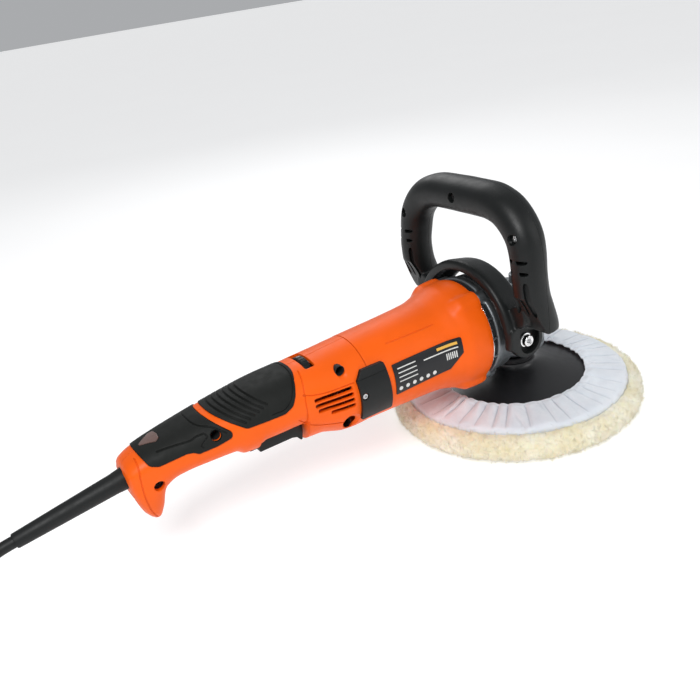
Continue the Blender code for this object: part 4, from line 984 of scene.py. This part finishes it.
def loop_points(count=230):
    """Points along the loop from one foot to the other, as y, z, x and size."""
    half = [(-y, z, x, size) for y, z, x, size in LOOP_SIDE]
    whole = half + [(0.0, 198.8, -37.0, 1.13)] + [(-y, z, x, size) for y, z, x, size in reversed(half)]
    whole = np.array(whole)
    length = np.concatenate([[0.0], np.cumsum(np.linalg.norm(np.diff(whole[:, :2], axis=0), axis=1))])
    even = smooth_between(length, whole, np.linspace(0.0, length[-1], count))
    for _ in range(6):
        even[1:-1] = (even[:-2] + 2 * even[1:-1] + even[2:]) / 4
    return even


def loop_form(name, shrink=0.0, around=64):
    points = loop_points()
    along = np.gradient(points[:, :2], axis=0)
    along /= np.linalg.norm(along, axis=1)[:, None]
    angle = np.linspace(0.0, 2 * math.pi, around, endpoint=False)
    power = 2 / 2.15
    deep = np.sign(np.cos(angle)) * np.abs(np.cos(angle)) ** power
    wide = np.sign(np.sin(angle)) * np.abs(np.sin(angle)) ** power
    rings = []
    for (y, z, x, size), (ty, tz) in zip(points, along):
        radius = LOOP_RADIUS * size - shrink
        depth = LOOP_STRETCH * LOOP_RADIUS * size - shrink
        rings.append(np.stack([x + deep * depth, y - wide * radius * tz, z + wide * radius * ty], axis=-1))
    return skin(name, rings)


def arch_form(name, spread):
    """Saddle over the gear case with a cheek and a leg's root on each side, grown by spread."""
    rear, front = -52.5 - spread, -29.0 + spread
    inside, outside = ARCH_INNER - spread, ARCH_OUTER + spread
    profile = [
        (ARCH_INNER + 1.0, front), (ARCH_FRONT + spread, front), (ARCH_FRONT + 1.4 + spread, -33.0),
        (outside, -46.0), (outside + 0.1, -48.5), (outside - 0.5, -51.0), (outside - 1.9, rear),
        (inside, rear), (inside, -42.0), (ARCH_LIP - spread, -34.0), (ARCH_LIP - spread, front),
    ]
    saddle = turned(name, profile, 160, "X", (0.0, 0.0, AXIS_Z), loop=True)
    keep(saddle, box(name + "_upper", (-60.0, -70.0, PIVOT_Z - 3.0), (0.0, 70.0, 160.0)))
    for side in SIDES:
        low, high = sorted((side * (ARCH_INNER - spread), side * (ARCH_OUTER + 0.4 + spread)))
        add(saddle, prism(name + "_cheek", grown(rounded(CHEEK_OUTLINE, 5.0), spread), low, high))
        y, z = side * 58.0, 113.0
        add(saddle, rod(name + "_root", (-46.0 - spread, y, z), (-26.0 + spread, y, z), 9.0 + spread))
    return saddle


def leg_point(side, degrees, z):
    """A point of a leg's surface and its outward direction; the angle turns outwards from the rear."""
    heights = [row[1] for row in LOOP_SIDE[:7]]
    y, x, size = [np.interp(z, heights, [row[i] for row in LOOP_SIDE[:7]]) for i in (0, 2, 3)]
    angle = math.radians(degrees)
    out = np.array([-math.cos(angle) * LOOP_STRETCH, side * math.sin(angle), 0.0]) * LOOP_RADIUS * size
    place = np.array([x, side * y, z]) + out
    scoop_x = np.interp(z, [at for _, at in FOOT_SCOOP[2:7]], [at for at, _ in FOOT_SCOOP[2:7]])
    place[0] = max(place[0], scoop_x)
    return place, out / np.linalg.norm(out)


def groove(name, places, width, depth):
    """Cutter along a surface: a round-ended channel through (point, outward direction) pairs."""
    points = np.array([point for point, _ in places])
    out = np.array([direction for _, direction in places])
    along = np.gradient(points, axis=0)
    along /= np.linalg.norm(along, axis=1)[:, None]
    across = np.cross(along, out)
    across /= np.linalg.norm(across, axis=1)[:, None]
    count = len(points)
    reach = np.minimum(np.arange(count), np.arange(count)[::-1]) / 3.0
    half = width / 2 * np.sqrt(1 - (1 - np.clip(reach, 0.12, 1.0)) ** 2)
    rings = []
    corners = [(-1, 1.6), (-1, -depth * 0.75), (-0.6, -depth), (0.6, -depth), (1, -depth * 0.75), (1, 1.6)]
    for side, level in corners:
        rings.append(points + across * (side * half)[:, None] + out * level)
    return skin(name, np.stack(rings, axis=1))


def loop_slots():
    """Two short grooves across each leg, and three long ones that follow it down."""
    slots = []
    for side in SIDES:
        for z in (162.4, 154.2):
            path = [leg_point(side, degrees, z) for degrees in np.linspace(-42.0, 48.0, 24)]
            slots.append(groove("slot", path, 2.9, 3.4))
        for start, end, width in ((-32.0, -40.0, 3.6), (0.0, 4.0, 2.4), (35.0, 41.0, 4.0)):
            path = []
            for t in np.linspace(0.0, 1.0, 26):
                path.append(leg_point(side, start + (end - start) * t * t, 147.5 - 29.0 * t))
            slots.append(groove("slot", path, width, 3.4))
    return slots


def loop_shells():
    """The loop's rear shell with the arch, and its front shell, parted along a thin seam."""
    whole = loop_form("loop")
    keep(whole, box("above_foot", (-80.0, -100.0, LOOP_FOOT_Z), (40.0, 100.0, 240.0)))
    for side in SIDES:
        near, far = sorted((side * 40.0, side * 95.0))
        cut(whole, prism("foot_scoop", FOOT_SCOOP, near, far))
    front = moulded(copied(whole, "loop_front"), 0.9, 3)
    keep(front, box("front_half", (LOOP_SEAM_X + 0.12, -100.0, 90.0), (40.0, 100.0, 240.0)))
    cut(front, arch_form("arch_room", GAP))
    rear = moulded(add(whole, arch_form("arch", 0.0)), 0.8, 9)
    rear.name = "loop_rear"
    spare = loop_form("spare", -1.6)
    keep(spare, box("front_side", (LOOP_SEAM_X - 0.12, -100.0, LOOP_FOOT_Z - 3.0), (40.0, 100.0, 240.0)))
    cut(spare, arch_form("arch_kept", 0.9))
    return cut(rear, spare), front


def loop_handle():
    """The loop's two shells, with grooves, screws and a recess over each pivot bolt."""
    rear, front = loop_shells()
    for slot in loop_slots():
        cut(rear, slot)
    names = ("left", "middle", "right")
    for name, (y, z) in zip(names, LOOP_SCREWS):
        cut(rear, rod("head_bore", (-70.0, y, z), (SCREW_SEAT_X, y, z), BORE_RADIUS))
        seat = SCREW_SEAT_X - GAP
        look = "dark" if name == "middle" else "chrome"
        screw("loop_screw_" + name, (seat, y, z), (-70.0, y, z), HEAD_RADIUS, 2.5, 1.5, look,
              "d_handle", "d_handle_screw_" + name)
    for side in SIDES:
        outline = arc((PIVOT_X, PIVOT_Z), RECESS_RADIUS, 180, 360, 40)
        outline += [(PIVOT_X + RECESS_RADIUS, 95.4), (PIVOT_X - RECESS_RADIUS, 102.4)]
        low, high = sorted((side * RECESS_FLOOR, side * 82.0))
        cut(rear, prism("bolt_recess", outline, low, high))
        cut(rear, rod("bolt_way", (PIVOT_X, side * 40.0, PIVOT_Z), (PIVOT_X, side * 60.0, PIVOT_Z), 3.7))
    finish_piece(rear, LOOK["satin"], "d_handle", "d_handle_rear_shell")
    finish_piece(front, LOOK["satin"], "d_handle", "d_handle_front_shell")


def side_turned(name, profile, side):
    """A profile of (radius, distance from the middle) points turned about the loop handle's pivot."""
    rings = turned_rings(profile, 72)
    placed = np.stack([PIVOT_X + rings[..., 0], side * rings[..., 2], PIVOT_Z + rings[..., 1]], axis=-1)
    return skin(name, placed)


def bolts():
    for name, side in (("left", 1), ("right", -1)):
        bolt = side_turned("pivot_bolt_" + name, [
            (0.0, 36.0), (3.3, 36.0), (3.3, 52.7), (5.8, 52.7), (5.8, 53.7), (4.7, 53.9), (4.7, 56.4),
            (4.4, 57.0), (3.9, 57.3), (3.3, 57.2), (2.9, 56.8), (0.0, 56.8),
        ], side)
        at = [(PIVOT_X, side * y, PIVOT_Z) for y in (54.6, 60.0)]
        cut(bolt, rod("hex", at[0], at[1], 2.7, steps=6))
        finish_piece(bolt, LOOK["chrome"], BODY, "handle_bolt_" + name)


# Pad and bonnet

def soft_noise(points, scale, seed):
    """Smooth noise from -1 to 1 for points in millimetres, made of a few fixed waves."""
    rng = np.random.default_rng(seed)
    total = np.zeros(len(points))
    for _ in range(24):
        direction = rng.normal(size=3)
        direction *= rng.uniform(0.6, 1.7) / np.linalg.norm(direction)
        total += np.sin(points @ direction * 2 * math.pi / scale + rng.uniform(0, 2 * math.pi))
    return total / math.sqrt(24)


def backing_plate():
    plate = turned("backing_disc", [
        (7.1, 24.0), (7.1, 49.0), (17.7, 49.0), (18.5, 48.2), (18.5, 45.4), (17.6, 45.0), (17.6, 44.4),
        (18.5, 44.0), (18.6, 42.4), (19.4, 40.8), (21.2, 39.4), (25.0, 37.8), (34.0, 34.8), (48.0, 31.1),
        (62.0, 27.9), (76.0, 24.9), (87.4, 22.3), (PLATE_RADIUS, 21.4), (PLATE_RADIUS, 18.7), (3.0, 18.7),
        (3.0, 24.0),
    ], 192, loop=True)
    finish_piece(plate, LOOK["gloss"], "spindle_group", "backing_plate")
    pad = turned("foam_disc", [
        (0.0, 18.4), (87.6, 18.4), (89.0, 17.6), (90.0, 16.0), (90.0, 11.5), (89.2, 10.3), (88.0, 9.9),
        (0.0, 9.9),
    ], 160)
    finish_piece(pad, LOOK["foam"], "spindle_group", "foam_pad")


def pleat(angle, seed=7):
    """Irregular pleats round the bonnet: soft ridges between narrow creases."""
    rng = np.random.default_rng(seed)
    warp = angle + 0.035 * np.sin(5 * angle + 1.0) + 0.022 * np.sin(11 * angle + 2.0)
    warp += 0.012 * np.sin(23 * angle)
    ridge = np.abs(np.sin(warp * 19.0 + 0.4)) ** 0.8
    small = 0.5 * np.sin(warp * 41.0 + 1.3) + 0.25 * np.sin(warp * 67.0 + rng.uniform(0, 6))
    strength = 0.7 + 0.3 * np.sin(3 * angle + 0.8) * np.sin(7 * angle + 0.3)
    return ridge * 4.4 * strength + 0.8 * small


def fabric_sheet():
    """Rows of points of the bonnet's fabric from its elastic edge outwards and under the pad."""
    profile = np.array([
        (62.2, 29.6), (64.0, 29.7), (68.0, 28.9), (74.0, 28.0), (80.0, 27.5), (86.0, 27.2), (91.0, 26.6),
        (94.6, 25.4), (96.4, 22.8), (96.8, 19.0), (96.6, 15.0), (95.0, 11.6), (92.3, 9.2), (88.0, 8.7),
        (80.0, 8.7),
    ])
    length = np.concatenate([[0.0], np.cumsum(np.linalg.norm(np.diff(profile, axis=0), axis=1))])
    rows = smooth_between(length, profile, np.linspace(0.0, length[-1], 52))
    angle = np.linspace(0.0, 2 * math.pi, 480, endpoint=False)
    ripple = pleat(angle)
    grid = []
    for radius, z in rows:
        near = np.clip((94.0 - radius) / 30.0, 0.0, 1.0) if z > 20 else 0.0
        lift = ripple * near**0.7 * np.clip((radius - 61.0) / 6.0, 0.35, 1.0)
        scallop = 0.3 * np.sin(angle * 29.0 + 2.0 * np.sin(angle * 5.0))
        reach = radius + scallop * np.clip((66.0 - radius) / 4.0, 0.0, 1.0) + lift * 0.12
        height = z + np.maximum(lift, -0.6)
        grid.append(np.stack([reach * np.cos(angle), reach * np.sin(angle), height], axis=-1))
    return np.array(grid)


def settle(sheet, rows, around, frames=16):
    """Lets the sheet buckle as cloth between its held edges, and keeps the settled shape."""
    group = sheet.vertex_groups.new(name="held")
    held = list(range(0, 2 * around)) + list(range((rows // 2 + 4) * around, rows * around))
    group.add(held, 1.0, "REPLACE")
    cloth = sheet.modifiers.new("cloth", "CLOTH")
    settings = cloth.settings
    settings.vertex_group_mass = "held"
    settings.mass = 0.15
    settings.quality = 5
    settings.tension_stiffness = 12.0
    settings.compression_stiffness = 12.0
    settings.bending_stiffness = 0.04
    settings.shrink_min = -0.035
    settings.effector_weights.gravity = 0.0
    cloth.point_cache.frame_start = 1
    cloth.point_cache.frame_end = frames
    scene = bpy.context.scene
    for moment in range(1, frames + 1):
        scene.frame_set(moment)
    baked(sheet)
    scene.frame_set(1)


def bonnet_fabric():
    grid = fabric_sheet()
    rows, around = grid.shape[:2]
    sheet = mesh_object("bonnet_cloth", grid.reshape(-1, 3), ring_faces(rows, around))
    settle(sheet, rows, around)
    settled = np.zeros(rows * around * 3)
    sheet.data.vertices.foreach_get("co", settled)
    moved = settled.reshape(-1, 3) / MM - grid.reshape(-1, 3)
    size = np.linalg.norm(moved, axis=1)
    moved *= np.minimum(1.0, 2.0 / np.maximum(size, 1e-6))[:, None]
    shape = grid.reshape(-1, 3) + moved
    radius = np.hypot(shape[:, 0], shape[:, 1])
    floor = np.where(radius < PLATE_RADIUS + 1.0, 29.2 - (radius - 60.0) * 0.215, -99.0)
    top = grid.reshape(-1, 3)[:, 2] > 20.0
    shape[:, 2] = np.where(top, np.maximum(shape[:, 2], floor), shape[:, 2])
    sheet.data.vertices.foreach_set("co", (shape * MM).ravel())
    sheet.data.update()
    thick = sheet.modifiers.new("cloth_thickness", "SOLIDIFY")
    thick.thickness = 0.5 * MM
    thick.offset = -1.0
    baked(sheet)
    finish_piece(sheet, LOOK["fabric"], "spindle_group", "bonnet_fabric", angle=80)
    points = np.zeros(len(sheet.data.vertices) * 3)
    sheet.data.vertices.foreach_get("co", points)
    edge = points.reshape(-1, 3)[:around] / MM
    gathers = 0.08 * np.sin(np.arange(around) * 2 * math.pi * 60 / around)
    hem = tube("bonnet_hem", edge, 0.75 + gathers, loop=True)
    finish_piece(hem, LOOK["fabric"], "spindle_group", angle=80)


def tube(name, path, radius, loop=False, around=14):
    """A round pipe along a path of points."""
    path = np.asarray(path, dtype=float)
    if loop:
        along = np.roll(path, -1, axis=0) - np.roll(path, 1, axis=0)
    else:
        along = np.gradient(path, axis=0)
    along /= np.linalg.norm(along, axis=1)[:, None]
    up = np.array([0.0, 0.0, 1.0]) if abs(along[0][2]) < 0.9 else np.array([0.0, 1.0, 0.0])
    side = np.cross(along, up)
    side /= np.linalg.norm(side, axis=1)[:, None]
    lift = np.cross(side, along)
    angle = np.linspace(0.0, 2 * math.pi, around, endpoint=False)
    size = np.broadcast_to(np.asarray(radius, dtype=float), (len(path),))[:, None, None]
    across, up = np.cos(angle)[None, :, None], np.sin(angle)[None, :, None]
    return skin(name, path[:, None] + (side[:, None] * across + lift[:, None] * up) * size, loop)


WOOL_PROFILE = [
    (97.0, 15.0), (97.2, 22.6), (98.6, 23.6), (102.2, 22.8), (105.8, 20.2), (108.4, 15.8), (109.0, 10.6),
    (107.4, 6.0), (103.6, 2.6), (96.0, 0.9), (70.0, 0.8), (30.0, 0.8),
]


def wool_surface(around=440):
    """Points and outward directions over the wool's smooth outside."""
    profile = np.array(WOOL_PROFILE)
    length = np.concatenate([[0.0], np.cumsum(np.linalg.norm(np.diff(profile, axis=0), axis=1))])
    rows = smooth_between(length, profile, np.linspace(0.0, length[-1], 90))
    slope = np.gradient(rows, axis=0)
    slope /= np.linalg.norm(slope, axis=1)[:, None]
    outward = np.stack([-slope[:, 1], slope[:, 0]], axis=-1)
    angle = np.linspace(0.0, 2 * math.pi, around, endpoint=False)
    turn = np.stack([np.cos(angle), np.sin(angle)], axis=-1)[None]
    found = []
    for values in (rows, outward):
        level = np.repeat(values[:, None, 1:], around, axis=1)
        found.append(np.concatenate([values[:, None, :1] * turn, level], axis=-1))
    return found


def wool():
    """The fleece: a lumpy closed ring under the pad, covered in short strands."""
    points, facing = wool_surface()
    rows, around = points.shape[:2]
    flat = points.reshape(-1, 3)
    lumps = 0.45 * soft_noise(flat, 10.0, 3) + 0.3 * soft_noise(flat, 4.0, 4)
    out = facing.reshape(-1, 3)
    held = np.clip((flat[:, 2] - 0.2) / 2.0, 0.15, 1.0)
    shape = flat + out * (lumps * held)[:, None]
    shape[:, 2] = np.maximum(shape[:, 2], 0.2)
    rings = list(shape.reshape(rows, around, 3))
    angle = np.linspace(0.0, 2 * math.pi, around, endpoint=False)
    inside = []
    for radius, z in ((30.0, 7.6), (92.0, 7.8), (96.95, 11.6)):
        inside.append(np.stack([radius * np.cos(angle), radius * np.sin(angle), np.full(around, z)], axis=-1))
    fleece = skin("fleece", rings + inside, loop=True)
    finish_piece(fleece, LOOK["wool"], "spindle_group", "wool_bonnet", angle=180)
    tufts(shape, out, rows, around)


def tufts(shape, out, rows, around, count=16000):
    """Short curled strands over the fleece, as one mesh."""
    rng = np.random.default_rng(11)
    limit = 52 * around
    pick = rng.integers(2 * around, limit, count)
    base = shape[pick]
    away = out[pick]
    around_way = np.stack([-base[:, 1], base[:, 0], np.zeros(count)], axis=-1)
    around_way /= np.linalg.norm(around_way, axis=1)[:, None]
    down_way = np.cross(away, around_way)
    clump_a = soft_noise(base, 7.0, 5)[:, None]
    clump_b = soft_noise(base, 7.0, 6)[:, None]
    lean = around_way * clump_a * 0.9 + down_way * clump_b * 0.9 + rng.normal(scale=0.35, size=(count, 3))
    length = rng.uniform(1.2, 2.8, count)[:, None]
    width = rng.uniform(0.14, 0.28, count)[:, None]
    curl = rng.normal(scale=0.8, size=(count, 3))
    levels = 4
    angle = np.array([0.0, 2.094, 4.189])
    points = []
    for level in range(levels):
        t = level / (levels - 1)
        middle = base + away * length * t * (1 - 0.25 * t)
        middle = middle + lean * length * t * 0.55 + curl * t * t * 0.7
        size = width * (1 - 0.75 * t)
        for a in angle:
            points.append(middle + around_way * np.cos(a) * size + down_way * np.sin(a) * size)
    points = np.stack(points, axis=1)
    points[..., 2] = np.maximum(points[..., 2], 0.25)
    per = levels * 3
    one = np.array(ring_faces(levels, 3))
    faces = (np.arange(count)[:, None, None] * per + one[None]).reshape(-1, 4)
    strands = mesh_object("wool_strands", points.reshape(-1, 3), faces.tolist())
    finish_piece(strands, LOOK["wool"], "spindle_group", angle=180)


# Controls and cord

def trigger():
    """A wide paddle that narrows at its rear, with a pin through it."""
    outline = [
        (-262.9, 80.6), (-262.9, 75.6), (-261.0, 73.3), (-230.0, 72.9), (-226.0, 71.8), (-223.2, 68.2),
        (-222.0, 68.4), (-220.6, 74.0), (-220.3, 82.0), (-222.0, 84.0), (-250.0, 84.0), (-258.5, 82.6),
    ]
    paddle = prism("trigger_paddle", rounded(outline, 1.0, 4), -17.6, 17.6)
    for side in SIDES:
        low, high = sorted((side * 11.8, side * 30.0))
        cut(paddle, box("shoulder", (-270.0, low, 60.0), (-256.2, high, 90.0)))
    bevelled(paddle, 1.1)
    add(paddle, rod("pivots", (TRIGGER_X, -15.8, TRIGGER_Z), (TRIGGER_X, 15.8, TRIGGER_Z), 2.0, steps=32))
    finish_piece(paddle, LOOK["satin"], "trigger", "trigger")


def speed_dial():
    dial = turned("dial_wheel", [
        (0.0, 3.0), (14.6, 3.0), (DIAL_RADIUS, 2.2), (DIAL_RADIUS, -2.2), (14.6, -3.0), (2.5, -3.0),
        (2.5, -7.0), (0.0, -7.0),
    ], 120, "X", (DIAL_X, 0.0, DIAL_Z))
    teeth = []
    for index in range(30):
        if index == 1:
            continue
        angle = 2 * math.pi * index / 30
        y, z = 15.6 * math.sin(angle), DIAL_Z + 15.6 * math.cos(angle)
        teeth.append(rod("tooth", (DIAL_X - 5.0, y, z), (DIAL_X + 5.0, y, z), 0.5, steps=10))
    cut(dial, joined(teeth))
    finish_piece(dial, LOOK["satin"], "speed_dial", "speed_dial")
    angle = 2 * math.pi / 30
    out = Vector((0.0, math.sin(angle), math.cos(angle)))
    centre = Vector((DIAL_X, 0.0, DIAL_Z))
    place, half = centre + out * 15.0, Vector((1.3, 0.0, 0.0))
    tick = rod("dial_tick", place - half, place + half, 0.5, steps=12)
    finish_piece(tick, LOOK["mark"], "speed_dial")


def buttons():
    x, z = LOCK_ON
    button = rod("lock_button", (x, 20.0, z), (x, 30.6, z), 4.9, steps=64)
    add(button, rod("button_dome", (x, 30.5, z), (x, 31.0, z), 4.9, 4.3, 64))
    rings = joined([turned("button_ring", [(r, 0.0), (r + 0.5, 0.0), (r + 0.5, 1.0), (r, 1.0)], 64, loop=True)
                    for r in (1.4, 2.9)])
    turn = Matrix.Rotation(math.radians(90), 4, "X")
    rings.data.transform(Matrix.Translation(Vector((x, 31.3, z)) * MM) @ turn)
    cut(button, rings)
    finish_piece(button, LOOK["satin"], "lock_on_button", "lock_on_button")
    head = rod("spindle_button", (LOCK_X, 0, 112.0), (LOCK_X, 0, 120.4), 5.8, steps=64)
    add(head, rod("edge", (LOCK_X, 0, 120.3), (LOCK_X, 0, 121.0), 5.8, 5.1, 64))
    cut(head, rod("thumb", (LOCK_X, 0, 120.4), (LOCK_X, 0, 122.0), 3.4, 4.6, 64))
    add(head, rod("pin", (LOCK_X, 0, 81.4), (LOCK_X, 0, 114.0), 2.1, steps=32))
    finish_piece(head, LOOK["satin"], "spindle_lock", "spindle_lock_button")


def lock_spring(wire=0.45, turns=5.0):
    """The coil under the spindle lock button, filling the imported spring's box, with its own mesh."""
    low, high = [np.array(corner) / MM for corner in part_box("spindle_lock_spring")]
    base, top = low[2] + wire, high[2] - wire
    radius = (high[0] - low[0]) / 2 - wire
    path = []
    for t in np.linspace(0.0, 1.0, 220):
        angle = 2 * math.pi * turns * t
        path.append((LOCK_X + radius * math.cos(angle), radius * math.sin(angle), base + (top - base) * t))
    coil = tube("lock_spring", path, wire, around=12)
    finish_piece(coil, LOOK["steel"], BODY, "spindle_lock_spring")
    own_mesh(coil)


def cord():
    """The tapered cord guard, and the cable that comes out of it and droops."""
    rings = turned_rings([
        (GUARD_RADIUS, 0.0), (GUARD_RADIUS, -9.0), (GUARD_RADIUS - 0.2, -12.0), (GUARD_RADIUS - 0.6, -16.0),
        (6.1, -55.0), (5.3, -84.0), (5.0, -GUARD_LENGTH), (4.5, -GUARD_LENGTH), (4.5, 0.0),
    ], 72)
    guard = skin("strain_relief", rings, loop=True)
    turn = Matrix.Rotation(math.radians(90) - CORD_SLOPE, 4, "Y")
    guard.data.transform(Matrix.Translation(Vector(CORD_EXIT) * MM) @ turn)
    finish_piece(guard, LOOK["cable"], BODY, "cord_guard")
    start, end = -16.0, GUARD_LENGTH + 4.0
    path = [cord_point(distance) for distance in np.linspace(start, end, 12)]
    path += [cord_point(end + reach, -0.006 * reach**2) for reach in np.linspace(3.0, 40.0, 14)]
    finish_piece(tube("mains_cable", path, 4.1, around=40), LOOK["cable"], BODY, "power_cable")


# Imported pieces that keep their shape

KEPT = {
    "steel": ["armature_shaft", "crown_gear", "pinion_gear", "spindle", "spindle_lower_bearing",
              "spindle_upper_bearing", "armature_front_bearing", "armature_rear_bearing"],
    "laminations": ["armature_core", "stator_core"],
    "winding": ["field_coil_upper", "field_coil_lower"],
    "copper": ["commutator"],
    "brass": ["brush_holder_left", "brush_holder_right"],
    "carbon": ["carbon_brush_left", "carbon_brush_right"],
    "satin": ["cooling_fan", "switch_body"],
    "board": ["speed_control_board"],
}


def dress_kept_pieces():
    for look, nodes in KEPT.items():
        for node in nodes:
            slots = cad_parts[node].data.materials
            slots.clear()
            slots.append(LOOK[look])


# Stage, lights and camera

def stage():
    floor = turned("studio_floor", [(0.0, 0.0), (14000.0, 0.0), (14000.0, -5.0), (0.0, -5.0)], 64,
                   centre=(0.0, 0.0, -0.3))
    floor.data.materials.append(LOOK["floor"])
    world = bpy.data.worlds.new("studio")
    bpy.context.scene.world = world
    world.use_nodes = True
    world.node_tree.nodes["Background"].inputs["Color"].default_value = (0.95, 0.97, 1.0, 1.0)
    world.node_tree.nodes["Background"].inputs["Strength"].default_value = 0.42
    bpy.context.scene.view_settings.view_transform = "Standard"


def area_light(name, place, target, size, power, colour=(1.0, 1.0, 1.0)):
    light = bpy.data.lights.new(name, "AREA")
    light.shape = "DISK"
    light.size = size
    light.energy = power
    light.color = colour
    thing = bpy.data.objects.new(name, light)
    thing.location = place
    thing.rotation_euler = (Vector(target) - Vector(place)).to_track_quat("-Z", "Y").to_euler()
    bpy.context.scene.collection.objects.link(thing)


def lights():
    middle = (-0.15, 0.0, 0.09)
    area_light("key", (-0.75, -0.75, 1.15), middle, 0.55, 14.0)
    area_light("fill", (0.75, -1.0, 0.7), middle, 0.9, 3.0)
    area_light("back", (0.3, 0.95, 0.9), middle, 0.8, 4.0)


def camera():
    """The camera from its direction, distance and roll about the line of sight."""
    azimuth, elevation, roll = math.radians(-29.017), math.radians(27.648), math.radians(-9.3945)
    target, distance = Vector((-0.16, 0.0, 0.085)), 0.6032
    back = Vector((math.sin(azimuth) * math.cos(elevation), -math.cos(azimuth) * math.cos(elevation),
                   math.sin(elevation)))
    level = Vector((math.cos(azimuth), math.sin(azimuth), 0.0))
    up = back.cross(level)
    right = level * math.cos(roll) + up * math.sin(roll)
    top = up * math.cos(roll) - level * math.sin(roll)
    data = bpy.data.cameras.new("photo_camera")
    data.sensor_width = 36.0
    data.lens = 40.12
    data.shift_x = -0.00945
    data.shift_y = 0.0439
    data.clip_start = 0.01
    thing = bpy.data.objects.new("photo_camera", data)
    turn = Matrix((right, top, back)).transposed().to_4x4()
    thing.matrix_world = Matrix.Translation(target + back * distance) @ turn
    bpy.context.scene.collection.objects.link(thing)
    bpy.context.scene.camera = thing


def build():
    handle_shells()
    front_grip()
    rear_cover()
    shell_screws()
    motor_housing()
    brush_covers()
    rating_label()
    gear_case()
    exhaust_ring()
    loop_handle()
    bolts()
    backing_plate()
    bonnet_fabric()
    wool()
    trigger()
    speed_dial()
    buttons()
    lock_spring()
    cord()
    dress_kept_pieces()
    stage()
    lights()
    camera()


build()
